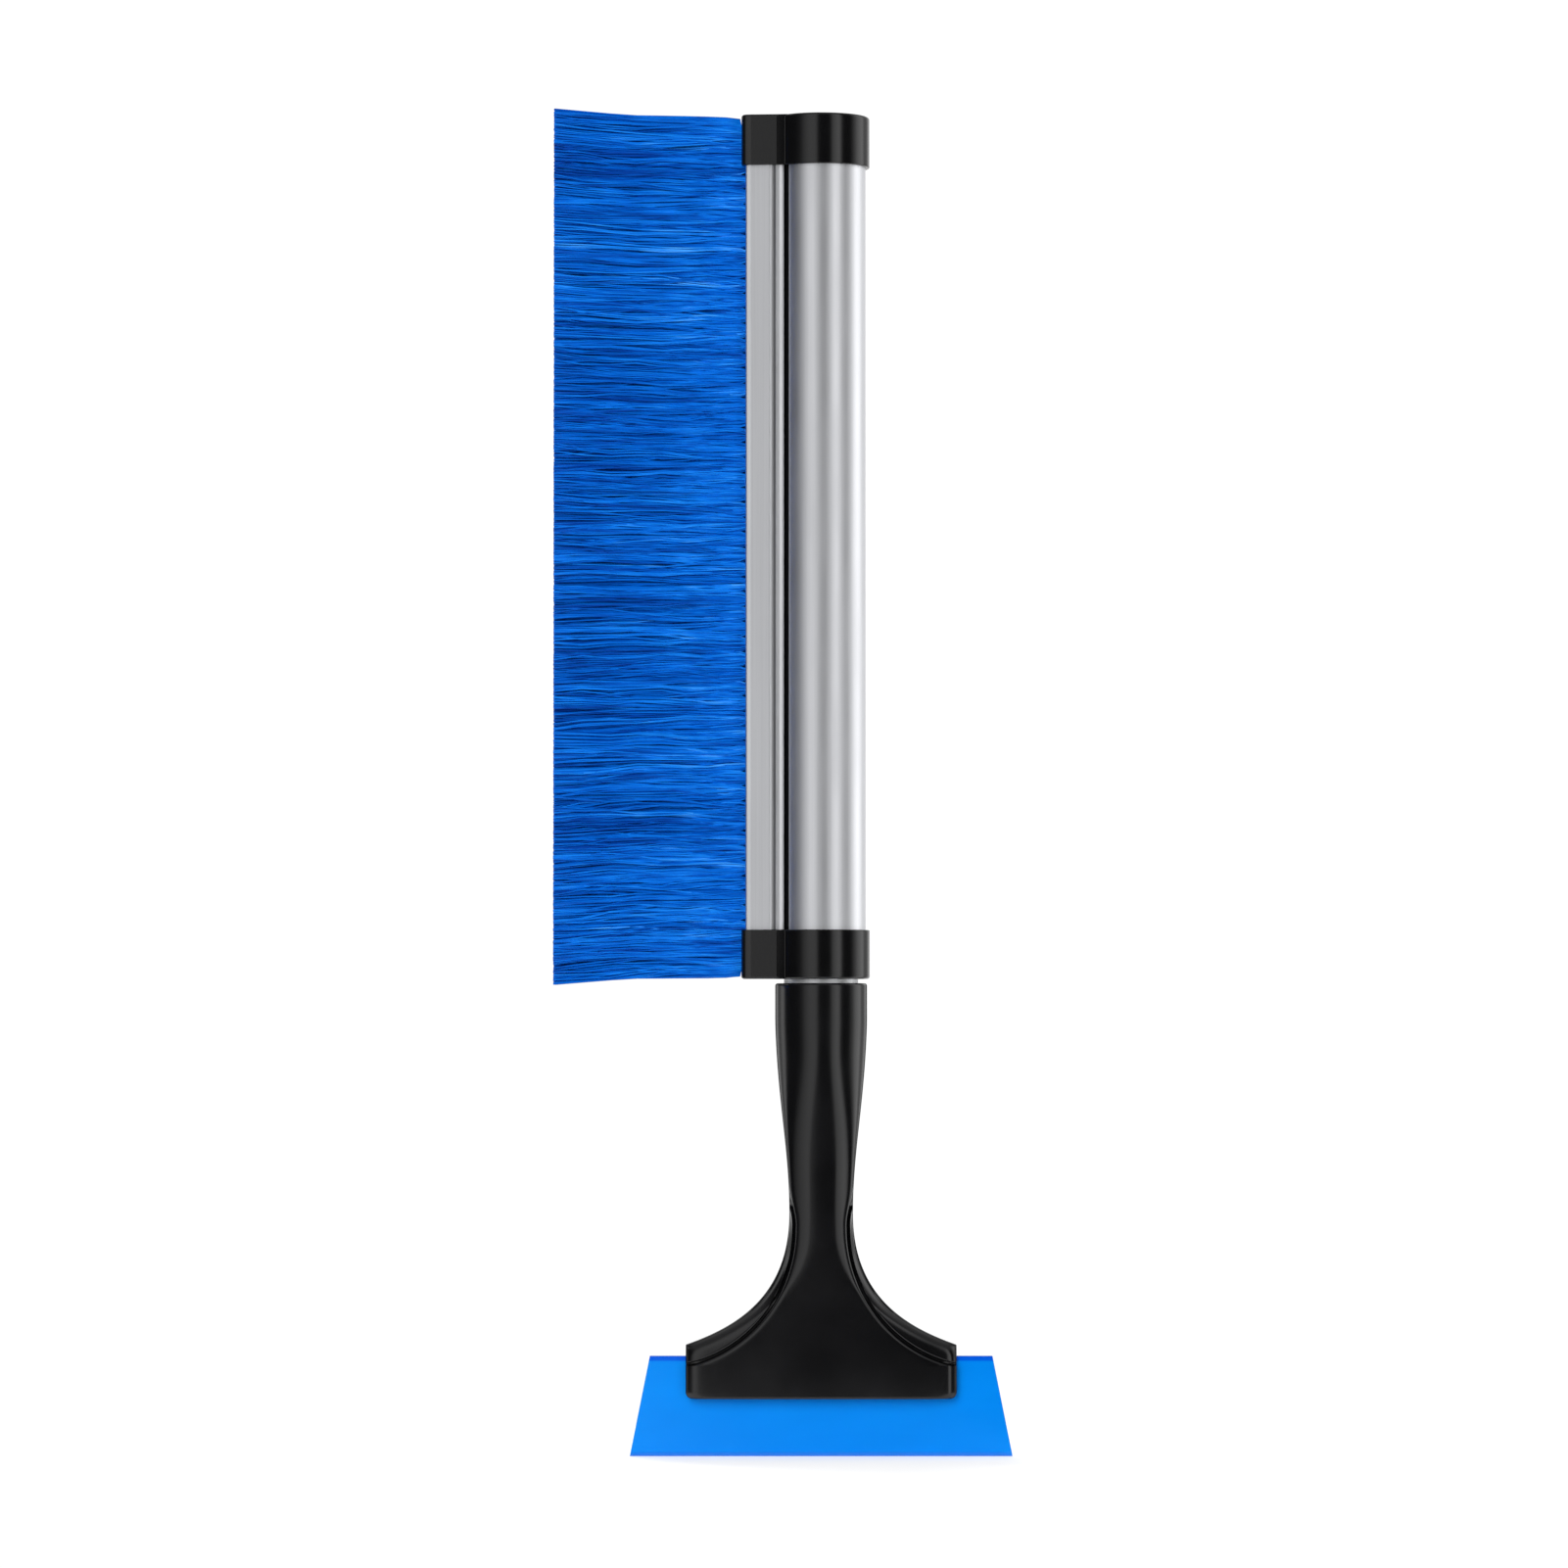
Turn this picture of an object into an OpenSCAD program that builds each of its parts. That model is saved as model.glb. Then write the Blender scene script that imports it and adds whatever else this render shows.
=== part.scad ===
// Telescopic snow brush with a scraper blade on its handle.
// The long axis is Z, X points away from the bristles, the blade's edge is at z = 0.

/* [Overall] */
// Height of the closed object, from blade edge to top cap
total_h = 448.3; // [430:0.1:520]
// Height at which the brush section starts
brush_base_z = 159.2; // [156:0.1:162]

/* [Extrusion] */
// Outer radius of the round tube of the extrusion
tube_r = 15; // [14.5:0.1:16]
// Radius of the bore that the telescope runs in
bore_r = 13.5; // [13.4:0.05:13.5]
// Distance from the tube's axis to the flat end of the lobe
lobe_x = 25.3; // [24.8:0.1:27]
// Half of the lobe's thickness where it meets the tube
lobe_y = 10.5; // [10.3:0.1:11]
// Taper of the lobe's faces towards the bristles, in degrees
lobe_taper = 5; // [3:0.5:5]

/* [Caps] */
// How far a cap stands out around the extrusion
cap_wall = 1.3; // [1.1:0.1:2]
// Height of the top cap
top_cap_h = 17; // [15:0.5:24]
// Height of the bottom cap
bottom_cap_h = 16.4; // [15:0.1:24]

/* [Brush] */
// Distance from the tube's axis to the bristle tips
tip_x = 89.4; // [70:0.1:110]
// Half thickness of the brush at its tips
tip_y = 11.5; // [10:0.5:14]
// Tufts in a full row
tufts = 56; // [30:1:56]
// Spacing of the tufts along a row
tuft_pitch = 5; // [4:0.1:5]

/* [Telescope] */
// Outer radius of the inner tube
inner_r = 12.4; // [12:0.05:12.4]
// Wall of the inner tube
inner_wall = 1.2; // [1:0.1:1.5]
// Throw of the lock cam
cam_throw = 0.62; // [0.5:0.01:0.62]

/* [Handle] */
// Half width of the scraper head
head_w = 45.2; // [40:0.1:48]
// Half depth of the raised panel on the head
head_d = 7.5; // [7:0.1:9]
// Half depth of the flange around the raised panel
flange_d = 5.5; // [5:0.1:6]
// Radius of the round top of the handle
handle_r = 15.35; // [15:0.05:16.5]
// Radius of the waist
waist_r = 10.62; // [10:0.01:12]

/* [Blade] */
// Half width of the blade at its edge
blade_edge_w = 63.9; // [55:0.1:75]
// Half width of the blade at its top
blade_top_w = 57.2; // [50:0.1:70]
// Height of the blade
blade_h = 33.4; // [32:0.1:34]
// Thickness of the blade
blade_t = 4; // [3:0.1:4]

/* [Hidden] */
$fn = 96;
eps = 0.01;
gap = 0.05;      // between pieces that are fixed to each other
clear = 0.3;     // between pieces that move past each other
fit = 0.15;      // around a piece that drops into a pocket
over = 1;        // how far a cut runs past a face
far = 20;        // beyond the outside of the tubes and the handle

// Levels of the brush section
cap_plate = 2.5;
brush_low_z = brush_base_z + cap_plate;
brush_high_z = total_h - cap_plate;
brush_mid_z = (brush_low_z + brush_high_z) / 2;
strip_low_z = brush_low_z + gap;
strip_high_z = brush_high_z - gap;

// Channel in the lobe and the strip in it
channel_x0 = 23.8;
channel_x1 = 17.3;
channel_y = 8.2;
lip_y = 6.8;
port_x = 14.6;
port_y = 7;
port_r = 1.3;
port_screw_r = port_r - gap;
port_screw_l = 15;
port_head_r = 2.7;
port_head_h = 1.4;
tuft_r = 1.95;
tuft_depth = 5;
tuft_overlap = 0.5;
anchor = [1.5, 2.4, 0.5];
row_y = 4.3;
nose_x = lobe_x - 1;
back_x = channel_x1 + gap;

// Seams of the lobe: V-groove and deep groove, with a narrow bead left between them
vee_x = 16;
vee_w = 0.95;
vee_depth = 0.55;
groove_x0 = 12.4;
groove_x1 = 10.8;
groove_floor = 8.2;
lobe_corner = 0.8;

// The lobe's faces turn in a little beside its flat end
edge_x = lobe_x - 1.7;
edge_tilt = 22;

// Shallow valley in the caps, beside the round tube
valley_x = 12.3;
valley_y = lobe_y + 0.35;
valley_tilt = 12;
valley_end_x = 14.95;
valley_reach = 3;
mouth = 5;

// Outline of the brush on each side of its middle: distance from the axis, half height
root_z = strip_high_z - brush_mid_z - 0.2;
root_y = row_y + tuft_r;
root_x = lobe_x + cap_wall + 0.2;
splay_x = 27.1;
trim_x = 64;
brush_outline = [[nose_x, root_z], [root_x, root_z], [splay_x, 143.9], [trim_x, 144.2], [tip_x, 146.3]];

// Levels of the handle
head_low_z = 19.3;
head_corner_r = 2.3;
head_end_z = 37.16;
waist_z = 81.1;
shoulder_z = 145;
handle_top_z = 157.8;
panel_end_z = 30.55;
panel_top_z = 75.9;
panel_top_w = 9.14;
core_low_z = 93;
core_r = 7;
socket_z = 121.8;
tube_low_z = socket_z + 0.2;
tube_high_z = 420;

// Clamp, its screws and their inserts
clamp_top_z = 50;
clamp_seat = blade_t / 2 + gap;
clamp_screw_x = 28;
clamp_screw_z = 27;
clamp_screw_r = 2;
clamp_inset = 0.3;
clamp_head_r = 4.2;
clamp_head_h = 2.2;
clamp_hex_r = 1.45;
clamp_hex_h = 1.4;
insert_r = 3;
insert_y0 = 6.4;
insert_floor = 0.3;
tip_gap = 0.4;
blade_bevel_t = 1.6;
tube_screw_zs = [141, 151];
tube_screw_r = 1.5;
tube_head_r = 3;
tube_head_h = 1.3;
tube_screw_reach = 2.5;
tube_seat_y = 13.7;
small_hex_r = 1.2;

// Stack on the end of the inner tube, from its end upwards
flange_t = 2;
journal_h = 6;
journal_r = 10;
stub_r = 6;
stub_h = 12;
journal_z = tube_high_z + flange_t;
stub_z = journal_z + journal_h + flange_t;
stub_top_z = stub_z + stub_h;
retainer_t = 3;
retainer_r = 11;
cam_r = 12.57;
cam_screw_r = 1.5;
cam_screw_l = 17;
cam_head_r = 3;
cam_head_h = 1.5;
pilot_depth = 8;
ring_split = 1.2;
cam_split = 1.5;

// ---- curves ----

function bezier(p, t) =
    pow(1 - t, 3) * p[0] + 3 * pow(1 - t, 2) * t * p[1] + 3 * (1 - t) * t * t * p[2] + pow(t, 3) * p[3];
function curve(p, n) = [for (i = [0:n]) bezier(p, i / n)];
function smooth(t) = t * t * (3 - 2 * t);
function ramp(z, z0, z1) = smooth(min(1, max(0, (z - z0) / (z1 - z0))));

// Side of the fan, from the waist down to the end of the head
fan_side = [[waist_r, waist_z], [waist_r, 53.1], [head_w - 16.8, 43], [head_w, head_end_z]];
// Edge of the raised panel
panel_side = [[panel_top_w, panel_top_z], [panel_top_w, 56.2], [head_w - 23.4, 35.8], [head_w, panel_end_z]];
// Side of the grip, from the shoulder down to the waist
grip_side = [[handle_r, shoulder_z], [handle_r - 0.7, 118], [waist_r, 103], [waist_r, waist_z]];

// ---- handle ----

// Half depth of the handle at height z
waist_d = waist_r - 0.9;
depth_zs = [48, 84, 146];
function depth(z) =
    head_d + (waist_d - head_d) * ramp(z, depth_zs[0], depth_zs[1])
    + (handle_r - waist_d) * ramp(z, depth_zs[1], depth_zs[2]);
// Squareness of its section, where 2 is an ellipse: what each stretch adds below it, and its ends
square_steps = [[2.6, 98, 132], [-1.1, 50, 84], [4.5, 28, 46]];
function total(v, i = 0) = i < len(v) ? v[i] + total(v, i + 1) : 0;
function power(z) = 2 + total([for (s = square_steps) s[0] * (1 - ramp(z, s[1], s[2]))]);

function corner(i, n) = [
    head_w - head_corner_r * (1 - sin(90 * i / n)),
    head_low_z + head_corner_r * (1 - cos(90 * i / n))
];
corner_steps = 4;
fan_steps = 20;
grip_steps = 12;
handle_side = concat(
    [for (i = [0:corner_steps]) corner(i, corner_steps)],
    [for (p = [fan_steps:-1:1]) bezier(fan_side, p / fan_steps)],
    [for (p = [grip_steps:-1:1]) bezier(grip_side, p / grip_steps)],
    [[handle_r, shoulder_z], [handle_r, handle_top_z]]
);

function spow(v, e) = sign(v) * pow(abs(v), e);
module loft(side, n) {
    points = [
        for (s = side)
            for (k = [0:n - 1])
                let (a = 360 * k / n, e = 2 / power(s[1]))
                [s[0] * spow(cos(a), e), depth(s[1]) * spow(sin(a), e), s[1]]
    ];
    rings = len(side);
    walls = [
        for (i = [0:rings - 2])
            for (k = [0:n - 1])
                [i * n + k, (i + 1) * n + k, (i + 1) * n + (k + 1) % n, i * n + (k + 1) % n]
    ];
    low = [for (k = [0:n - 1]) k];
    high = [for (k = [n - 1:-1:0]) (rings - 1) * n + k];
    polyhedron(points, concat(walls, [low, high]), convexity = 6);
}

// Half outline of the raised panel below height z, mirrored
module panel_outline(top_z, grow) {
    edge = [for (p = curve(panel_side, 24)) if (p[1] < top_z) [p[0] + grow, p[1] + grow]];
    side_x = head_w + over;
    right = concat([[edge[0][0], top_z + grow]], edge, [[side_x, panel_end_z + grow], [side_x, -over]]);
    left = [for (i = [len(right) - 1:-1:0]) [-right[i][0], right[i][1]]];
    polygon(concat(right, left));
}

// Stands an XZ outline up, from y0 to y1
module upright(y0, y1) {
    translate([0, y1, 0])
        rotate([90, 0, 0])
            linear_extrude(y1 - y0)
                children();
}

// What is cut away outside the raised panel, on the front (-1) or the back (1)
module head_shoulder(side) {
    shoulder_h = 62;
    upright(side > 0 ? flange_d : -far, side > 0 ? far : -flange_d)
        difference() {
            translate([-head_w - over, 0]) square([2 * (head_w + over), shoulder_h]);
            panel_outline(panel_top_z + far, 0);
        }
}

module at_clamp_screws() {
    for (x = [-clamp_screw_x, 0, clamp_screw_x])
        translate([x, 0, clamp_screw_z])
            rotate([-90, 0, 0])
                children();
}

module at_tube_screws() {
    for (z = tube_screw_zs)
        translate([0, 0, z])
            rotate([-90, 0, 0])
                children();
}

module scraper_handle() {
    color([0.02, 0.02, 0.02])
        difference() {
            loft(handle_side, $fn / 2);
            head_shoulder(-1);
            head_shoulder(1);
            translate([0, 0, core_low_z]) cylinder(r = core_r, h = socket_z - core_low_z + over);
            translate([0, 0, socket_z]) cylinder(r = inner_r + gap, h = handle_top_z - socket_z + over);
            upright(-clamp_seat, clamp_seat)
                translate([-blade_edge_w, 0]) square([2 * blade_edge_w, blade_h + gap]);
            upright(blade_t / 2, far)
                panel_outline(clamp_top_z, fit);
            at_clamp_screws() translate([0, 0, -insert_y0]) cylinder(r = insert_r + gap, h = insert_y0);
            at_tube_screws() cylinder(r = tube_screw_r + gap, h = far);
            at_tube_screws() translate([0, 0, tube_seat_y]) cylinder(r = tube_head_r + fit, h = far);
        }
}

module blade_clamp() {
    color([0.03, 0.03, 0.03])
        difference() {
            upright(clamp_seat, head_d)
                intersection() {
                    panel_outline(clamp_top_z, 0);
                    translate([-head_w + clamp_inset, head_low_z + clamp_inset])
                        square([2 * (head_w - clamp_inset), clamp_top_z]);
                }
            at_clamp_screws() cylinder(r = clamp_screw_r + fit, h = far);
            at_clamp_screws()
                translate([0, 0, head_d - clamp_head_h - fit])
                    cylinder(r1 = clamp_screw_r + fit, r2 = clamp_head_r + clear, h = clamp_head_h + fit + eps);
        }
}

module scraper_blade() {
    color([0, 0.45, 0.9])
        difference() {
            intersection() {
                upright(-blade_t, blade_t)
                    polygon([
                        [-blade_edge_w, 0], [blade_edge_w, 0],
                        [blade_top_w, blade_h], [-blade_top_w, blade_h]
                    ]);
                rotate([90, 0, 90])
                    linear_extrude(4 * blade_edge_w, center = true)
                        polygon([
                            [blade_bevel_t - blade_t / 2, 0], [blade_t / 2, 0], [blade_t / 2, blade_h],
                            [-blade_t / 2, blade_h], [-blade_t / 2, blade_bevel_t]
                        ]);
            }
            at_clamp_screws() translate([0, 0, -blade_t]) cylinder(r = clamp_screw_r + clear, h = 2 * blade_t);
        }
}

module clamp_screws() {
    color("silver")
        at_clamp_screws()
            difference() {
                union() {
                    translate([0, 0, tip_gap - insert_y0])
                        cylinder(r = clamp_screw_r, h = insert_y0 - tip_gap + head_d - clamp_head_h + fit);
                    translate([0, 0, head_d - clamp_head_h])
                        cylinder(r1 = clamp_screw_r, r2 = clamp_head_r, h = clamp_head_h);
                }
                translate([0, 0, head_d - clamp_hex_h])
                    cylinder(r = clamp_hex_r, h = clamp_hex_h + over, $fn = 6);
            }
}

module threaded_inserts() {
    color("gold")
        at_clamp_screws()
            translate([0, 0, -insert_y0])
                difference() {
                    cylinder(r = insert_r, h = insert_y0 - clamp_seat);
                    translate([0, 0, insert_floor]) cylinder(r = clamp_screw_r + gap, h = insert_y0);
                }
}

// ---- telescope ----

module inner_tube() {
    color([0.75, 0.76, 0.78])
        difference() {
            translate([0, 0, tube_low_z]) cylinder(r = inner_r, h = tube_high_z - tube_low_z);
            translate([0, 0, tube_low_z - over]) cylinder(r = inner_r - inner_wall, h = tube_high_z);
            at_tube_screws() cylinder(r = tube_screw_r + gap, h = far);
        }
}

module tube_screws() {
    tip_y0 = inner_r - inner_wall - tube_screw_reach;
    color("silver")
        at_tube_screws()
            difference() {
                union() {
                    translate([0, 0, tip_y0])
                        cylinder(r = tube_screw_r, h = tube_seat_y - tip_y0 + tube_head_h / 2);
                    translate([0, 0, tube_seat_y]) cylinder(r = tube_head_r, h = tube_head_h);
                }
                translate([0, 0, tube_seat_y + tube_head_h / 2])
                    cylinder(r = small_hex_r, h = tube_head_h, $fn = 6);
            }
}

module lock_plug() {
    spigot_h = 20;
    color([0.15, 0.15, 0.16])
        difference() {
            union() {
                translate([0, 0, tube_high_z - spigot_h])
                    cylinder(r = inner_r - inner_wall - gap, h = spigot_h);
                translate([0, 0, tube_high_z]) cylinder(r = inner_r, h = flange_t);
                translate([0, 0, journal_z]) cylinder(r = journal_r, h = journal_h);
                translate([0, 0, journal_z + journal_h]) cylinder(r = inner_r, h = flange_t);
                translate([cam_throw, 0, stub_z]) cylinder(r = stub_r, h = stub_h);
            }
            translate([cam_throw, 0, stub_z - pilot_depth])
                cylinder(r = cam_screw_r + gap, h = pilot_depth + stub_h + over);
        }
}

module cam_retainer() {
    color([0.7, 0.7, 0.72])
        translate([cam_throw, 0, stub_top_z])
            difference() {
                cylinder(r = retainer_r, h = retainer_t);
                translate([0, 0, -over]) cylinder(r = cam_screw_r + fit, h = retainer_t + 2 * over);
                translate([0, 0, retainer_t - cam_head_h - fit])
                    cylinder(r1 = cam_screw_r + fit, r2 = cam_head_r + clear, h = cam_head_h + fit + eps);
            }
}

module cam_screw() {
    color("silver")
        translate([cam_throw, 0, stub_top_z])
            difference() {
                union() {
                    translate([0, 0, -cam_screw_l])
                        cylinder(r = cam_screw_r, h = cam_screw_l + retainer_t - cam_head_h);
                    translate([0, 0, retainer_t - cam_head_h])
                        cylinder(r1 = cam_screw_r, r2 = cam_head_r, h = cam_head_h);
                }
                translate([0, 0, retainer_t - cam_head_h / 2])
                    cylinder(r = small_hex_r, h = cam_head_h, $fn = 6);
            }
}

module glide_ring() {
    color([0.9, 0.9, 0.88])
        translate([0, 0, journal_z + clear])
            difference() {
                cylinder(r = bore_r - gap, h = journal_h - 2 * clear);
                translate([0, 0, -over]) cylinder(r = journal_r + gap, h = journal_h + over);
                translate([0, -ring_split / 2, -over]) cube([far, ring_split, journal_h + over]);
            }
}

// The collar's own throw is at right angles to the stub's in the locked position
module lock_cam() {
    color([0.8, 0.3, 0.1])
        difference() {
            translate([cam_throw, cam_throw, stub_z + clear]) cylinder(r = cam_r, h = stub_h - 2 * clear);
            translate([cam_throw, 0, stub_z]) cylinder(r = stub_r + gap, h = stub_h);
            translate([cam_throw - far, -cam_split / 2, stub_z]) cube([far, cam_split, stub_h]);
        }
}

// ---- brush section ----

// Half thickness of the lobe at distance x from the tube's axis
function lobe_face(x) = lobe_y - tan(lobe_taper) * (x - groove_x1);

// Outer outline of the extrusion without its seams, grown by an even margin
module profile_outline(grow) {
    root = 6;
    corner_x = lobe_x - lobe_corner;
    corner_y = lobe_face(edge_x) - tan(edge_tilt) * (corner_x - edge_x) - lobe_corner / cos(edge_tilt);
    upper = concat(
        [
            [-root, lobe_face(root) + grow / cos(lobe_taper)],
            [-edge_x, lobe_face(edge_x) + grow / cos(lobe_taper)]
        ],
        [
            for (i = [0:8])
                let (a = 90 + edge_tilt + (90 - edge_tilt) * i / 8)
                [-corner_x + (lobe_corner + grow) * cos(a), corner_y + (lobe_corner + grow) * sin(a)]
        ]
    );
    circle(tube_r + grow);
    polygon(concat(upper, [for (i = [len(upper) - 1:-1:0]) [upper[i][0], -upper[i][1]]]));
}

module seams() {
    for (s = [-1, 1]) {
        polygon([
            [-vee_x - vee_w, s * far], [-vee_x - vee_w, s * lobe_face(vee_x + vee_w)],
            [-vee_x, s * (lobe_face(vee_x) - vee_depth)],
            [-vee_x + vee_w, s * lobe_face(vee_x - vee_w)], [-vee_x + vee_w, s * far]
        ]);
        // Deep groove between the bead and the round tube
        polygon([
            [-groove_x0, s * far], [-groove_x0, s * groove_floor],
            [-groove_x1, s * groove_floor], [-groove_x1, s * far]
        ]);
    }
}

module profile() {
    difference() {
        profile_outline(0);
        seams();
        circle(bore_r);
        translate([-channel_x0, -channel_y]) square([channel_x0 - channel_x1, 2 * channel_y]);
        translate([-lobe_x - over, -lip_y]) square([lobe_x - channel_x1, 2 * lip_y]);
        for (s = [-1, 1]) translate([-port_x, s * port_y]) circle(port_r, $fn = 32);
    }
}

module body_extrusion() {
    color([0.72, 0.73, 0.75])
        translate([0, 0, brush_low_z])
            linear_extrude(brush_high_z - brush_low_z)
                profile();
}

module at_ports() {
    for (s = [-1, 1])
        translate([-port_x, s * port_y, 0])
            children();
}

// Outer outline of a cap
module cap_outline() {
    rise = tan(valley_tilt) * (valley_end_x - valley_x);
    circle(tube_r + cap_wall);
    difference() {
        profile_outline(cap_wall);
        for (s = [-1, 1])
            polygon([
                [-valley_end_x, s * (valley_y + rise)], [-valley_x, s * valley_y],
                [valley_reach - valley_x, s * valley_y], [valley_reach - valley_x, s * tube_r],
                [-valley_end_x, s * tube_r]
            ]);
    }
}

// Cup that fits over the end of the extrusion, open on the bristle side
module cap_cup(h, plate) {
    difference() {
        linear_extrude(h) cap_outline();
        translate([0, 0, plate]) linear_extrude(h) profile_outline(gap);
        translate([-lobe_x - mouth, -lip_y, plate]) cube([2 * mouth, 2 * lip_y, h]);
        translate([0, 0, -over]) at_ports() cylinder(r = port_r + 2 * gap, h = plate + 2 * over, $fn = 32);
        translate([0, 0, -eps])
            at_ports()
                cylinder(r1 = port_head_r + fit, r2 = port_r + 2 * gap, h = port_head_h + 2 * gap);
    }
}

module top_end_cap() {
    color([0.03, 0.03, 0.03])
        translate([0, 0, total_h])
            mirror([0, 0, 1])
                cap_cup(top_cap_h, cap_plate);
}

module bottom_end_cap() {
    color([0.03, 0.03, 0.03])
        translate([0, 0, brush_base_z])
            difference() {
                cap_cup(bottom_cap_h, cap_plate);
                translate([0, 0, -over]) cylinder(r = inner_r + clear, h = cap_plate + 2 * over);
            }
}

// Screw driven upwards from z = 0, its head at the bottom
module port_screw() {
    difference() {
        union() {
            cylinder(r1 = port_head_r, r2 = port_screw_r, h = port_head_h);
            cylinder(r = port_screw_r, h = port_screw_l, $fn = 32);
        }
        translate([0, 0, -over]) cylinder(r = small_hex_r, h = over + port_head_h / 2, $fn = 6);
    }
}

module bottom_cap_screws() {
    color("silver")
        translate([0, 0, brush_base_z])
            at_ports() port_screw();
}

module top_cap_screws() {
    color("silver")
        translate([0, 0, total_h])
            mirror([0, 0, 1])
                at_ports() port_screw();
}

module guide_bush() {
    bush_h = 14;
    color([0.9, 0.9, 0.88])
        translate([0, 0, brush_low_z + gap])
            difference() {
                cylinder(r = bore_r - gap, h = bush_h);
                translate([0, 0, -over]) cylinder(r = inner_r + gap, h = bush_h + 2 * over);
            }
}

// ---- bristles ----

tuft_span = (tufts - 1) * tuft_pitch;
module at_tufts() {
    for (row = [-1:1])
        for (i = [0:tufts - 1 - (1 - abs(row))])
            translate([
                -nose_x, row * row_y,
                brush_mid_z - tuft_span / 2 + (i + (1 - abs(row)) / 2) * tuft_pitch
            ])
                rotate([0, 90, 0])
                    children();
}

module bristle_strip() {
    color([0.05, 0.05, 0.06])
        difference() {
            translate([0, 0, strip_low_z])
                linear_extrude(strip_high_z - strip_low_z) {
                    translate([-channel_x0 + gap, -channel_y + gap])
                        square([channel_x0 - gap - back_x, 2 * channel_y - 2 * gap]);
                    translate([-nose_x, -lip_y + 2 * gap])
                        square([nose_x - back_x, 2 * lip_y - 4 * gap]);
                }
            at_tufts() translate([0, 0, -over]) cylinder(r = tuft_r, h = tuft_depth + over, $fn = 24);
        }
}

module tuft_anchors() {
    color("gold")
        at_tufts()
            translate([-anchor[0] / 2, -anchor[1] / 2, tuft_depth - anchor[2] - 2 * gap])
                cube(anchor);
}

module bristles() {
    upper = [for (p = brush_outline) [-p[0], brush_mid_z + p[1]]];
    lower = [for (i = [len(brush_outline) - 1:-1:0]) [-brush_outline[i][0], brush_mid_z - brush_outline[i][1]]];
    color([0.05, 0.35, 0.8])
        union() {
            intersection() {
                upright(-far, far) polygon(concat(upper, lower));
                linear_extrude(total_h + far)
                    polygon([
                        [-nose_x, -root_y], [-lobe_x, -root_y], [-tip_x, -tip_y],
                        [-tip_x, tip_y], [-lobe_x, root_y], [-nose_x, root_y]
                    ]);
            }
            at_tufts()
                translate([0, 0, -tuft_overlap])
                    cylinder(r = tuft_r - gap, h = tuft_overlap + tuft_depth - anchor[2] - 4 * gap, $fn = 24);
        }
}

scraper_handle();
blade_clamp();
scraper_blade();
clamp_screws();
threaded_inserts();
inner_tube();
tube_screws();
lock_plug();
cam_retainer();
cam_screw();
glide_ring();
lock_cam();
body_extrusion();
top_end_cap();
bottom_end_cap();
guide_bush();
bristle_strip();
tuft_anchors();
bristles();
top_cap_screws();
bottom_cap_screws();
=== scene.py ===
"""Looks of the telescopic snow brush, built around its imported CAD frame.

Every section below works in millimetres and converts to metres when it makes a mesh. The long axis is Z,
the bristles point along -X and the front of the scraper head faces -Y.
"""

import math

import bmesh
import bpy
import numpy as np
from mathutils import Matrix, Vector


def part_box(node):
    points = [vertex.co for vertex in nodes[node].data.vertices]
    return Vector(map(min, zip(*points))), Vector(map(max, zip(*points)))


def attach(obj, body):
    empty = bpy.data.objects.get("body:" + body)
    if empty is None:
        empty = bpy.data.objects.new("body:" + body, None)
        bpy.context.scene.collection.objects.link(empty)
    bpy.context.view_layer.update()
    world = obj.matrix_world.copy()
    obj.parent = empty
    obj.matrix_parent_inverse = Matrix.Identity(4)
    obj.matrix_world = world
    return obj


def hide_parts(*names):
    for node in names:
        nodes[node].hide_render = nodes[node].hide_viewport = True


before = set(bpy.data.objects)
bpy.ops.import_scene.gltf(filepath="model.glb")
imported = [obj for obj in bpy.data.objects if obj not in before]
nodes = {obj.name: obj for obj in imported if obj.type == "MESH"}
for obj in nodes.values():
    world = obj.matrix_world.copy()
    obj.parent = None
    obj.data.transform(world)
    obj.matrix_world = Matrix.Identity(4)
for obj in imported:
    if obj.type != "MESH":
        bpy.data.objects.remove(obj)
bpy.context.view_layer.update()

MM = 0.001
SEED = 20


def box_mm(node):
    """Lowest and highest corner of a CAD node, in millimetres."""
    low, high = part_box(node)
    return np.array(low) / MM, np.array(high) / MM


EXTRUSION_LOW, EXTRUSION_HIGH = box_mm("body_extrusion")
TOP_CAP_LOW, TOP_CAP_HIGH = box_mm("top_end_cap")
BOTTOM_CAP_LOW, BOTTOM_CAP_HIGH = box_mm("bottom_end_cap")
HANDLE_LOW, HANDLE_HIGH = box_mm("scraper_handle")
BLADE_HIGH = box_mm("scraper_blade")[1]
BRISTLE_LOW, BRISTLE_HIGH = box_mm("bristles")

TUBE_R = EXTRUSION_HIGH[0]
LOBE_X = -EXTRUSION_LOW[0]
LOBE_Y = 10.5
LOBE_TAPER = math.radians(5)
LOBE_CORNER = 0.8
EDGE_X = LOBE_X - 1.7
EDGE_TILT = math.radians(15)
GROOVE_RIGHT, GROOVE_LEFT, GROOVE_FLOOR = 10.8, 12.4, 8.2
VEE_X, VEE_HALF, VEE_DEPTH = 16.0, 0.95, 0.55
BORE_R = 13.5
CAP_WALL = TOP_CAP_HIGH[0] - TUBE_R
CAP_PLATE = 2.5
SLOT_Y = 6.8
PORT_X, PORT_Y, PORT_R = 14.6, 7.0, 1.3
CHANNEL_FRONT, CHANNEL_BACK, CHANNEL_Y = 23.8, 17.3, 8.2
BEYOND = 5.0  # how far a cutting tool runs past the piece it cuts


# ---------------------------------------------------------------- mesh helpers


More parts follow.
